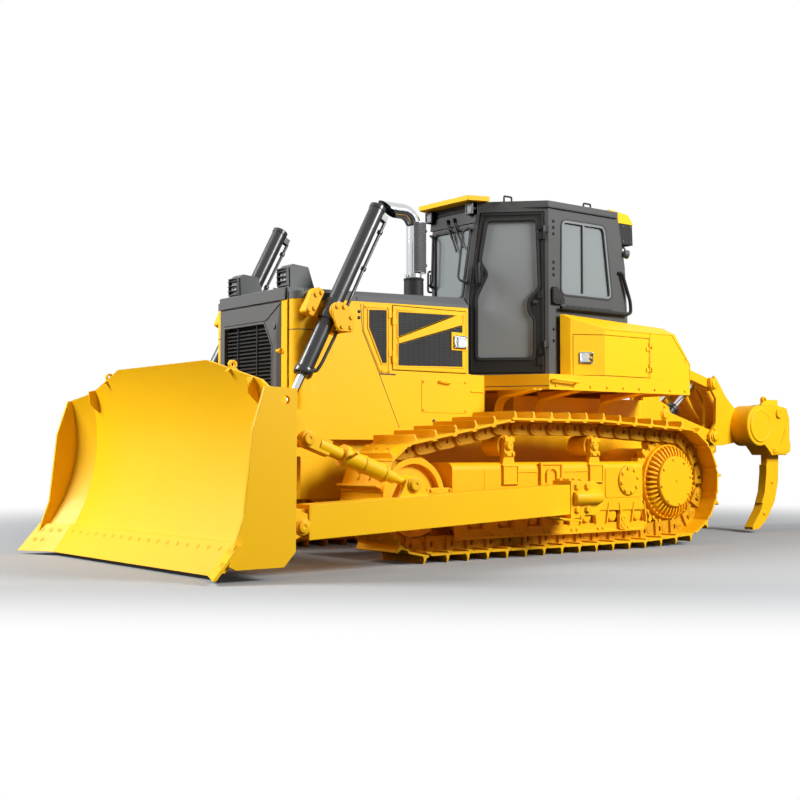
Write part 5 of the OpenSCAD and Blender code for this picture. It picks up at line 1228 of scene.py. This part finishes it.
@dataclass
class Operator:
    """Inside of the cab: padded seat with its base, levers and panel.

    square is the power that squares a pad's round form, crown its extra height in the middle. A pad is blown up on
    voxels for some frames by a pressure, and no point moves further than most. A sewn channel is groove deep and wide.
    """

    deck: float = DECK
    square: float = .45
    crown: float = .22
    voxel: float = .006
    frames: int = 20
    pressure: float = 4.0
    most: float = .009
    groove: Pair = (.011, .007)

    def pad(self, name: str, half: Sequence[float], centre: Sequence[float], lean: float, folds: int) -> None:
        """One sewn pad: a crowned form, blown up as cloth, then pressed in along its sewn channels.

        Args:
            name: Piece name.
            half: Half sizes along, across and through the pad.
            centre: Middle of the pad.
            lean: Turn about the cross axis in radians.
            folds: Number of sewn channels.
        """
        v, u = np.meshgrid(np.linspace(-.5 * math.pi, .5 * math.pi, 25),
                           np.linspace(0, 2 * math.pi, 48, endpoint=False), indexing="ij")
        cos_v, sin_v, cos_u, sin_u = (np.sign(t) * np.abs(t) ** self.square
                                      for t in (np.cos(v), np.sin(v), np.cos(u), np.sin(u)))
        flat = np.stack([cos_v * cos_u, cos_v * sin_u, sin_v], -1)
        crown = 1 + self.crown * (1 - flat[..., :1] ** 2) * (1 - flat[..., 1:2] ** 2)
        points = flat * np.asarray(half) * np.concatenate([np.ones_like(flat[..., :2]), crown], -1)
        ring = outward(loft(points[1:-1]))
        made = piece(name, ring, CLOTH, sharp=80)
        self._swell(made)
        co = np.zeros(3 * len(made.data.vertices), np.float32)
        made.data.vertices.foreach_get("co", co)
        p = co.reshape(-1, 3).astype(float)
        share = np.clip((p[:, 0] / half[0] + 1) / 2, 0, 1) * (folds + 1)
        deep, wide = self.groove
        past = (share - np.round(share)) * 2 * half[0] / (folds + 1)
        groove = np.exp(-(past / wide) ** 2) * (np.abs(p[:, 1]) < .72 * half[1])
        inner = (np.round(share) > 0) & (np.round(share) < folds + 1)
        p[:, 2] -= deep * groove * inner * np.sign(p[:, 2])
        c, s = math.cos(lean), math.sin(lean)
        p = p @ np.array([[c, 0, s], [0, 1, 0], [-s, 0, c]]) + np.asarray(centre)
        made.data.vertices.foreach_set("co", p.astype(np.float32).ravel())
        made.data.update()
        finer = made.modifiers.new("smooth", "SUBSURF")
        finer.levels = finer.render_levels = 1

    def _swell(self, made: bpy.types.Object) -> None:
        """Remeshes a pad, blows it up with cloth pressure, and caps each point's move."""
        remesh = made.modifiers.new("voxels", "REMESH")
        remesh.mode = "VOXEL"
        remesh.voxel_size = self.voxel
        view = bpy.context.evaluated_depsgraph_get()
        even = bpy.data.meshes.new_from_object(made.evaluated_get(view))
        made.modifiers.remove(remesh)
        made.data = even
        start = np.zeros(3 * len(even.vertices), np.float32)
        even.vertices.foreach_get("co", start)
        cloth = made.modifiers.new("cloth", "CLOTH")
        cloth.settings.use_pressure = True
        cloth.settings.uniform_pressure_force = self.pressure
        cloth.settings.effector_weights.gravity = 0
        cloth.point_cache.frame_start, cloth.point_cache.frame_end = 1, self.frames
        for k in range(1, self.frames + 1):
            bpy.context.scene.frame_set(k)
        blown = bpy.data.meshes.new_from_object(made.evaluated_get(bpy.context.evaluated_depsgraph_get()))
        made.modifiers.remove(cloth)
        bpy.context.scene.frame_set(1)
        end = np.zeros_like(start)
        blown.vertices.foreach_get("co", end)
        move = (end - start).reshape(-1, 3)
        size = np.linalg.norm(move, axis=1, keepdims=True)
        move *= np.minimum(1, self.most / np.maximum(size, 1e-9))
        even.vertices.foreach_set("co", (start.reshape(-1, 3) + move).astype(np.float32).ravel())
        even.polygons.foreach_set("use_smooth", np.ones(len(even.polygons), bool))
        even.update()

    def build(self) -> None:
        """Builds seat, levers and panel."""
        d = self.deck
        self.pad("seat_cushion", (.245, .245, .055), (-.225, 0, d + .375), 0.05, 3)
        self.pad("seat_back", (.300, .230, .050), (-.452, 0, d + .715), 1.712, 4)
        self.pad("seat_headrest", (.080, .130, .036), (-.520, 0, d + 1.100), 1.712, 1)
        shell = prism(soft([[-.500, d + .330], [-.455, d + .330], [-.545, d + 1.020],
                            [-.580, d + 1.020]], .02), -.220, .220)
        base = boxes([-.400, -.155, d + .012], [-.130, .155, d + .160]) + boxes([-.440, -.200, d + .250],
                                                                                [-.020, .200, d + .315])
        folds = joined([boxes([-.40 + k * .012, -.165 + k * .01, d + .16 + k * .03],
                              [-.13 - k * .012, .165 - k * .01, d + .185 + k * .03])
                        for k in range(3)])
        posts = joined([tube(np.array([[-.525, y, d + .99], [-.533, y, d + 1.06]]), .007, 8) for y in (-.06, .06)])
        rests = joined([prism(soft([[-.45, d + .600], [-.10, d + .610], [-.10, d + .655], [-.45, d + .650]],
                                   .02), y - .035, y + .035)
                        for y in (-.300, .300)])
        piece("seat_base", joined([shell, base, folds, posts, rests]), TRIM, bevel=.006, stands_for=["seat"])
        sticks = []
        for x, y, z, lean in ((-.02, .360, d + .56, .05), (-.08, .400, d + .56, .02), (-.05, -.360, d + .56, .05),
                              (.33, .100, d + .62, -.04),
                              (.33, -.120, d + .62, -.04)):
            sticks.append(tube(np.array([[x, y, z - .01], [x + lean, y, z + .13]]), .008, 8))
            sticks.append(revolve([[.012, 0], [.024, .020], [.026, .055], [.020, .085], [.008, .095]],
                                  (x + lean, y, z + .12), (.15, 0, 1), 16))
            sticks.append(revolve([[.034, 0], [.026, .014], [.018, .020], [.014, .032]], (x, y, z - .005), UP, 16))
        dash = prism(soft([[.285, d + .62], [.415, d + .62], [.415, d + .76], [.365, d + .79],
                           [.300, d + .66]], .015), -.17, .17)
        keys = boxes([[.312, y, d + .69] for y in np.arange(-.13, .10, .05)],
                     [[.330, y + .03, d + .715] for y in np.arange(-.13, .10, .05)])
        pedals = joined([prism(soft([[.28, d + .03], [.36, d + .13], [.37, d + .125], [.29, d + .02]], .004), y - .045,
                               y + .045) for y in (-.16, .0, .16)])
        piece("levers_and_panel", joined([*sticks, dash, keys, pedals]), TRIM, bevel=.002)


@dataclass
class SideBoxes:
    """Tank and tool boxes beside the cab, and the platform they stand on."""

    deck: float = DECK

    def build(self) -> None:
        """Builds the boxes' latch, trim, filler neck and seams, and the platform's pieces."""
        d = self.deck
        face = np.array([[-.191, .860], [-.474, 1.000]])
        run = (face[1] - face[0]) / np.linalg.norm(face[1] - face[0])
        out = np.array([-run[1], run[0]]) * (1 if -run[1] > 0 else -1)
        lay = np.array([[run[0], run[1], 0], [0, 0, 1], [out[0], out[1], 0]])
        dish = border(soft(rect(.080, .100, .205, .200), .012), .014, -.001, .012, Plane.XY)
        paddle = prism(soft(rect(.092, .110, .165, .190), .008), .0, .010, Plane.XY)
        lock = revolve([[.010, 0], [.010, .012], [.007, .014], [.002, .014]], (.185, .150, 0), UP, 14)
        latch = joined([dish, paddle, lock]).moved((*face[0], d + .012), lay)
        piece("tank_door_left_latch", latch, ZINC, "tank_door_left", bevel=.001)
        y = BOX_FACE
        edge = tube(np.array([[-1.620, y, d + .010], [-1.620, y, 1.640], [-1.372, y, 1.898]]), .006, 8)
        brow = tube(np.array([[-.480, .998, 1.903], [-1.372, .998, 1.903]]), .007, 8)
        neck = revolve([[.070, -.02], [.070, .020], [.058, .024], [.058, .040], [.066, .044], [.066, .074],
                        [.056, .082], [.02, .084]],
                       (-1.28, .60, 1.992), (-.05, 0, 1), 28)
        hinge = hex_bolts([[-1.085, y + .008, z] for z in (1.56, 1.58, 1.77, 1.79)], ACROSS, .014)
        piece("side_box_trim", joined([(edge + brow).both(), neck.mirrored(), hinge]), YELLOW)
        seam = boxes([[-1.068, y - .003, d + .005], [-1.555, y - .003, 1.650]],
                     [[-1.064, y + .0015, 1.905], [-1.551, y + .0015, 1.716]])
        right = boxes([[-1.064, -y - .0015, d + .012], [-.480, -y - .0015, d + .012], [-1.064, -y - .0015, d + .356]],
                      [[-1.060, -y + .002, d + .360], [-.476, -y + .002, d + .360], [-.476, -y + .002, d + .360]])
        piece("side_box_seams", seam.both() + right, RUBBER_AND_SHADE)
        self.platform()

    def platform(self) -> None:
        """Tread beads, edge bolts and grab handles of the deck, brackets under it and the panels in front of it."""
        d, y = self.deck, BOX_FACE
        bead = revolve([[.006, 0], [.006, .0015], [.003, .003]], ORIGIN, UP, 8)
        a, b = (g.ravel() for g in np.meshgrid(np.arange(.02, .42, .035), np.arange(.30, 1.0, .045), indexing="ij"))
        free = (b < 1.0 - 1.786 * np.maximum(a - .209, 0) - .05) & (b > .49 + np.maximum(0, -.2 - a))
        free &= (a > .48) | (b > .77 - 1.05 * (a + .04))
        spots = np.c_[a, b, np.full(len(a), d)][free]
        tread = bead.copies(spots).both()
        handle = tube(rounded([[.180, y, 1.440], [.180, y + .045, 1.440], [-.105, y + .045, 1.425],
                               [-.105, y, 1.425]], .03), .011, 10)
        bolts = hex_bolts([[a, y + .001, 1.395] for a in np.arange(-1.55, .15, .21)], ACROSS, .024)
        piece("platform_fittings", joined([tread, (handle + bolts).both()]), YELLOW)
        line = rounded([[0, .500, 1.100], [0, .520, 1.285], [0, .985, 1.350]], .10)[:, 1:]
        web = prism(np.vstack([line, [[.985, 1.362], [.500, 1.362]]]), -.006, .006, Plane.YZ)
        outer = np.vstack([line, line[::-1] + [0, .012]])
        flange = prism(outer, -.050, .050, Plane.YZ)
        cross = np.array([.330, -.150, -.960])
        piece("platform_brackets", (web + flange).copies(np.c_[cross, 0 * cross, 0 * cross]).both(), YELLOW)
        infill = prism([[.486, 1.090], [.673, 1.090], [.673, 1.492], [.640, 1.492], [.640, 1.486],
                        [.486, 1.486]], .488, .500)
        lip = boxes([.486, .499, 1.338], [.640, .509, 1.350])
        piece("hood_infill_panels", (infill + lip).both(), YELLOW, bevel=.002)
        seam = np.array([[.487, .5036], [.211, .9964], [.2121, .9970], [.4881, .5042]])
        piece("platform_seams", prism(seam, 1.386, 1.392, Plane.XY).both(), RUBBER_AND_SHADE)


@dataclass
class PushArms:
    """Fittings of the push arms: trunnion caps, steps, front pins, and the braces' pins and collars."""

    trunnion: Pair = (0.207, 0.457)
    brace: tuple[Pair, Pair] = ((2.020, 0.600), (2.930, 0.925))
    brace_y: float = 1.385

    def build(self) -> None:
        """Builds the arm fittings of both sides."""
        x, z = self.trunnion
        turn = np.radians(np.linspace(100, 260, 17))
        shell = np.vstack([np.c_[x + .142 * np.cos(turn), z + .142 * np.sin(turn)],
                           [[x + .10, z - .140], [x + .10, z + .140]]])
        cap = prism(shell, 1.306, 1.464)
        flange = boxes([[x + .098, 1.284, z - .158], [x + .150, 1.284, z - .150]],
                       [[x + .142, 1.486, z + .158], [x + .255, 1.4865, z + .150]])
        top = hex_bolts([[x + .165 + k * .062, y, z + .150] for k in (0, 1) for y in (1.335, 1.435)], UP, .046)
        plate = prism(soft([[x + .020, z - .125], [x + .158, z - .135], [x + .158, z + .145],
                            [x + .020, z + .135]], .02), 1.455, 1.4855)
        bolt = hex_bolts([[x + .068 + k * .118, 1.4855, z + .012 + s * .092] for k in (0, 1)
                          for s in (-1, 1)], ACROSS, .060)
        disc = revolve([[.050, -.010], [.056, .0], [.056, .270], [.046, .300], [.020, .316]],
                       (x + .215, 1.482, z + .010), (-1, 0, 0), 32)
        step = prism([[.42, .30], [.66, .325], [.66, .315], [.60, .300], [.42, .285]], 1.40, 1.56)
        piece("arm_trunnion_caps", joined([cap, flange, plate, top, bolt, disc]).both(), CASTING, "blade", bevel=.003)
        piece("arm_steps", step.both(), YELLOW, "blade", bevel=.002)
        low, high = self.brace
        tie = pins([[low[0], self.brace_y + .060, low[1]]], ACROSS, .045, .030)
        fork = pins([[high[0], self.brace_y + .052, high[1]]], ACROSS, .042, .028)
        way = np.array([high[0] - low[0], 0, high[1] - low[1]])
        way = way / np.linalg.norm(way)
        base = np.array([low[0], self.brace_y, low[1]])
        rings = [washer(rect(.061, -.010, .067, .010), base + way * a, way, 32) for a in (.25, .44)]
        grip = tube(rounded([base + way * .60 + [0, .074, 0], base + way * .60 + [0, .15, .03]], .01), .012, 8)
        piece("brace_fittings", joined([tie.both(), fork.both(), *rings, grip]), CASTING, "blade")
        lugs = boxes([[2.935, 1.4805, .245]], [[2.955, 1.489, .478]])
        keep = pins([[3.000, 1.482, .338]], ACROSS, .044, .026)
        piece("arm_front_pins", (lugs + keep).both(), CASTING, "blade", bevel=.002)


@dataclass
class TrackFrames:
    """Track frame fittings: guard ribs, carrier clamps, guide plates, pivot covers, idler yokes and sprocket ribs."""

    out: float = 1.095
    rollers: Pair = (-0.780, 1.130)
    roller_count: int = 7
    carriers: Pair = (0.755, -0.240)
    ribs: int = 40

    def guards(self) -> None:
        """V-ribs, bolts, roller caps and the towing hook of the roller guards."""
        centre = np.linspace(*self.rollers, self.roller_count)
        wing = np.array([[.060, .402], [.074, .402], [.102, .230], [.088, .230]])
        ribs = joined([prism(wing * [s, 1], self.out - .001,
                             self.out + .017).copies(np.c_[centre, 0 * centre, 0 * centre])
                       for s in (1, -1)])
        gap = centre[:-1] + .159
        bolts = hex_bolts(np.array([[x + s, self.out, z] for x in gap for s in (-.03, .03)
                                    for z in (.385, .185)]), ACROSS, .030)
        collar = hex_bolts(np.array([[x + s, self.out - .022, .315] for x in centre
                                     for s in (-.032, .032)]), ACROSS, .028)
        caps = revolve([[.052, -.004], [.052, .006], [.044, .012], [.015, .013]], ORIGIN, ACROSS, 22).copies(
            np.array([[x, self.out - .020, .290] for x in centre]))
        hook = prism(soft(rect(-.51, .300, -.60, .168), .02), self.out, self.out + .030)
        holes = joined([washer(rect(.012, 0, .026, .006), (-.555, self.out + .029, z), ACROSS, 20)
                        for z in (.205, .262)])
        piece("roller_guard_ribs", joined([ribs, bolts, collar, caps, hook, holes]).both(), CASTING)

    def carriers_and_plates(self) -> None:
        """Carrier clamps, arched guide plate, pivot cover and recoil covers."""
        y, shapes = self.out, []
        for x in self.carriers:
            shapes.append(boxes([x - .056, y - .012, .800], [x + .056, y + .004, .838]))
            shapes.append(boxes([x - .052, y - .014, .916], [x + .052, y + .006, .952]))
            shapes.append(pins([[x, y - .010, .885]], ACROSS, .034, .024))
            shapes.append(hex_bolts([[x + s, y + .004, .819] for s in (-.034, .034)], ACROSS, .030))
            shapes.append(hex_bolts([[x + s, y - .025, .952] for s in (-.032, .032)], UP, .030))
            shapes.append(border(rect(x - .082, .575, x + .082, .727), .010, y + .013, y + .020))
            shapes.append(prism([[x + .085, .73], [x + .085, .60], [x + .185, .73]], y - .040, y - .020))
        turn = np.linspace(0, math.pi, 17)
        arch = np.vstack([[[.235, .565]], np.c_[.300 - .065 * np.cos(turn),
                                                .655 + .055 * np.sin(turn)], [[.365, .565]]])
        plate = boxes([.175, y - .004, .560], [.425, y + .014, .748])
        frame_line = border(rect(.172, .562, .428, .748), .020, y + .013, y + .026)
        hump = border(arch, .018, y + .012, y + .030)
        pivot = revolve([[.131, .013], [.131, .018], [.122, .024], [.050, .026], [.02, .026]],
                        (-.650, y, .590), ACROSS, 48)
        ring = hex_bolts(ring_of(8, .104, (-.650, y + .022, .590), ACROSS, .2), ACROSS, .036)
        recoil = prism(soft([[-.36, .44], [-.36, .70], [-.825, .70], [-.825, .44]], .03), y - .001, y + .006)
        ledge = prism([[-.270, .432], [-.800, .432], [-.868, .330], [-.262, .338]], y - .001, y + .010)
        seams = boxes([[1.02, y - .001, .440]], [[1.03, y + .003, .690]])
        line = boxes([[.44, y - .001, .668], [-.15, y - .001, .668]], [[.66, y + .006, .676], [.16, y + .006, .676]])
        piece("track_frame_fittings", joined([*shapes, plate, frame_line, hump, pivot, ring, recoil,
                                              ledge, seams, line]).both(),
              CASTING, bevel=.002)

    def wheels(self) -> None:
        """Radial ribs of the sprockets; webs, hubs and slides of the idlers."""
        turn = np.linspace(0, 2 * math.pi, self.ribs, endpoint=False)
        frames = np.stack([np.c_[np.cos(turn), 0 * turn, np.sin(turn)], np.tile([0.0, 1.0, 0.0], (self.ribs, 1)),
                           np.c_[-np.sin(turn), 0 * turn, np.cos(turn)]], 1)
        rib = prism([[.232, 1.005], [.326, 1.005], [.324, 1.030], [.306, 1.058], [.250, 1.084], [.232, 1.086]],
                    -.0085, .0085, Plane.XY)
        ribs = outward(rib.copies(np.tile([SPROCKET[0], 0, SPROCKET[1]], (self.ribs, 1)), frames))
        piece("sprocket_ribs", ribs.both(), CASTING, bevel=.002)
        web = washer([[.10, 0], [.300, -.006], [.300, .004], [.20, .016], [.10, .020]],
                     (IDLER[0], .975, IDLER[1]), ACROSS, 48)
        hub = revolve([[.085, 0], [.085, .022], [.070, .030], [.025, .032]], (IDLER[0], 1.074, IDLER[1]), ACROSS, 32)
        bolts = hex_bolts(ring_of(6, .062, (IDLER[0], 1.104, IDLER[1]), ACROSS), ACROSS, .022)
        slide = boxes([[1.33, 1.070, .428], [1.33, 1.074, .455]], [[1.60, 1.082, .552], [1.52, 1.092, .525]])
        nuts = hex_bolts([[x, 1.0815, z] for x in (1.37, 1.56) for z in (.440, .540)], ACROSS, .030)
        piece("idler_fittings", joined([web, hub, bolts, slide, nuts]).both(), CASTING, bevel=.002)

    def build(self) -> None:
        """Builds the fittings of both frames."""
        self.guards()
        self.carriers_and_plates()
        self.wheels()


@dataclass
class Ripper:
    """Ripper: discs and eyes of its beam, link pins, shank wear plates and tips, and fittings of its rams."""

    tube_at: Pair = (-3.238, 1.103)
    ram_foot: Triple = (-1.830, .130, .830)
    ram_head: Pair = (-2.760, 1.525)

    def build(self) -> None:
        """Builds the pieces of beam, links, shanks and rams."""
        x, z = self.tube_at
        disc = revolve([[.168, -.002], [.168, .010], [.158, .016], [.150, .011], [.06, .011], [.02, .011]],
                       (x, .600, z), ACROSS, 48)
        eye = eye_plate((-3.440, .500, 1.318), .095, .036)
        boss = revolve([[.052, 0], [.052, .018], [.040, .024], [.026, .020], [.010, .020]],
                       (-3.560, .600, 1.235), ACROSS, 28)
        rib = prism([[-3.66, 1.07], [-3.745, .93], [-3.745, .845], [-3.60, .815], [-3.46, .83],
                     [-3.60, .93]], .598, .612)
        lip = border([[-3.47, .805], [-3.676, .805], [-3.742, .842], [-3.742, .90], [-3.60, .88],
                      [-3.45, .87]], .016, .596, .608)
        sleeve = revolve([[.200, -.249], [.2085, -.242], [.2085, -.008], [.200, .001]], (x, .600, z), ACROSS, 56)
        piece("ripper_beam_fittings", joined([disc, eye, boss, rib, lip, sleeve]).both(), CASTING,
              "ripper_beam", bevel=.002)
        joint = {"ripper_beam": [(-2.770, .992), (-2.760, 1.525)], "tractor": [(-1.992, 1.202), (-1.982, 1.735)]}
        for body, at in joint.items():
            ends = pins([[a, .3875, b] for a, b in at], ACROSS, .044, .026)
            inner = pins([[a, .2125, b] for a, b in at], (0, -1, 0), .044, .022)
            keep = boxes([[a - .014, .386, b + .030] for a, b in at], [[a + .014, .396, b + .085] for a, b in at])
            bolt = hex_bolts([[a, .3955, b + .072] for a, b in at], ACROSS, .022)
            piece(f"{body}_link_pins", joined([ends, inner, keep, bolt]).both(), CASTING, body)
        front = np.array([[-3.470, .700], [-3.470, .620], [-3.440, .420], [-3.385, .300]])
        wear = prism(np.vstack([front + [.020, 0], (front - [.012, 0])[::-1]]), .430, .520)
        tip = prism([[-3.392, .322], [-3.340, .228], [-3.196, .060], [-3.200, .034], [-3.296, .034],
                     [-3.410, .110], [-3.452, .152],
                     [-3.458, .215]], .424, .526)
        bolts = pins([[-3.400, .526, .200], [-3.56, .511, .520]], ACROSS, .020, .010)
        piece("shank_tips", joined([wear, tip, bolts]).both(), CASTING, "ripper_beam", bevel=.004)
        base = np.array(self.ram_foot)
        piece("ripper_ram_pins", pins([base + [0, .067, 0]], ACROSS, .030, .018).both(), CASTING)
        way = np.array([self.ram_head[0] - base[0], 0, self.ram_head[1] - base[2]])
        way = way / np.linalg.norm(way)
        gland = washer([[.0335, -.05], [.066, -.05], [.066, -.004], [.060, .004], [.0335, .006]],
                       base + way * .760, way, 28)
        bands = [washer(rect(.0575, -.010, .063, .010), base + way * a, way, 28) for a in (.14, .45)]
        pipe = tube(rounded([base + way * .16 + [0, .05, .0], base + way * .16 + [0, .085, 0],
                             base + way * .66 + [0, .085, 0],
                             base + way * .66 + [0, .05, 0]], .03), .010, 8)
        piece("ripper_ram_fittings", joined([gland, *bands, pipe]).both(), BARREL, "ripper_barrel")


@dataclass
class LiftYokes:
    """Bolted caps and cheeks of the lift cylinders' yokes."""

    def build(self) -> None:
        """Builds the caps of both yokes, with the bolts of their outer cheeks."""
        x, _, z = LIFT_PIN
        lay = np.array([LIFT_WAY, ACROSS, [-LIFT_WAY[2], 0, LIFT_WAY[0]]])
        front = prism(soft([[-.120, .108], [-.120, .175], [-.060, .205], [.105, .190], [.105, .108]], .02), .598, .684)
        rear = prism(soft([[-.125, -.105], [-.125, -.190], [.060, -.195], [.110, -.150],
                           [.110, -.105]], .02), .598, .655)
        spots = [[a, .684, b] for a, b in ((-.095, .132), (-.055, .165), (.045, .130), (.080, .165))]
        spots += [[a, .655, b] for a, b in ((-.100, -.150), (-.060, -.165), (.010, -.160), (.075, -.135))]
        bolts = hex_bolts(np.array(spots), ACROSS, .036)
        caps = joined([front, rear, bolts]).moved((x, 0, z), lay)
        line = np.array([[.066, .012], [.040, .058], [-.020, .070], [-.080, .040], [-.140, -.040], [-.140, -.150],
                         [.010, -.150], [.052, -.050]])
        outer = prism(soft(line + [x, z], .03), .798, .822)
        studs = hex_bolts([[x + a, .822, z + b] for a, b in ((.022, .030), (-.040, .030), (-.105, -.045),
                                                             (-.100, -.120), (-.020, -.120))],
                          ACROSS, .034)
        piece("lift_yoke_caps", joined([caps, outer, studs]).both(), CASTING, bevel=.004)


def dress(finish: Finish, *nodes: str) -> None:
    """Gives CAD nodes a finish, on their own material slots."""
    for name in nodes:
        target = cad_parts[name]
        if not target.material_slots:
            target.data.materials.append(finish.material())
        for place in target.material_slots:
            place.material = finish.material()


def dress_frame() -> None:
    """Gives every CAD node its finish."""
    dress(YELLOW, "radiator_guard", "hood_sides", "roof_caps", "platform", "tank_left", "tank_right", "tank_door_left",
          "engine_door_left", "engine_door_right", "push_arms", "moldboard", "blade_wings", "end_plates",
          "cutting_edge", "brace_left", "tilt_cylinder_right", "main_frame")
    dress(CASTING, "track_frame_left", "track_frame_right", "track_left", "track_right", "idlers", "sprockets",
          "rollers_left", "rollers_right", "lift_yokes", "ripper_bracket", "ripper_lower_link", "ripper_upper_link",
          "ripper_beam", "ripper_shanks")
    dress(GREY, "hood_top", "front_mask", "headlamps")
    # Cab shell in the lighter charcoal: painted light.
    dress(CHARCOAL_LIT, "cab_frame", "cab_roof")
    dress(CHARCOAL, "cab_door_left", "cab_door_right", "work_lamps", "handrails")
    dress(BARREL, "lift_barrel_left", "lift_barrel_right", "ripper_barrels", "engine_block")
    dress(SCREEN, "radiator_grille")
    dress(CHROME, "exhaust_stack", "lift_rod_left", "lift_rod_right", "ripper_rods")
    dress(GLASS, "cab_glass", "cab_door_glass_left", "cab_door_glass_right")
    dress(CLOTH, "seat")
    dress(TRIM, "console")


def main() -> None:
    """Builds the studio, dresses the CAD nodes and adds every sub-assembly's pieces."""
    logging.basicConfig(level=logging.INFO, format="%(message)s")
    Studio().build()
    dress_frame()
    for side, sign in SIDES:
        TrackChain(side, sign).build()
        LiftCylinder(side, sign).build()
    for part in (Undercarriage(), Blade(), Hood(), FrontMask(), Exhaust(), Cab(), Operator(), SideBoxes(), PushArms(),
                 TrackFrames(), Ripper(), LiftYokes()):
        part.build()


if __name__ == "__main__":
    main()
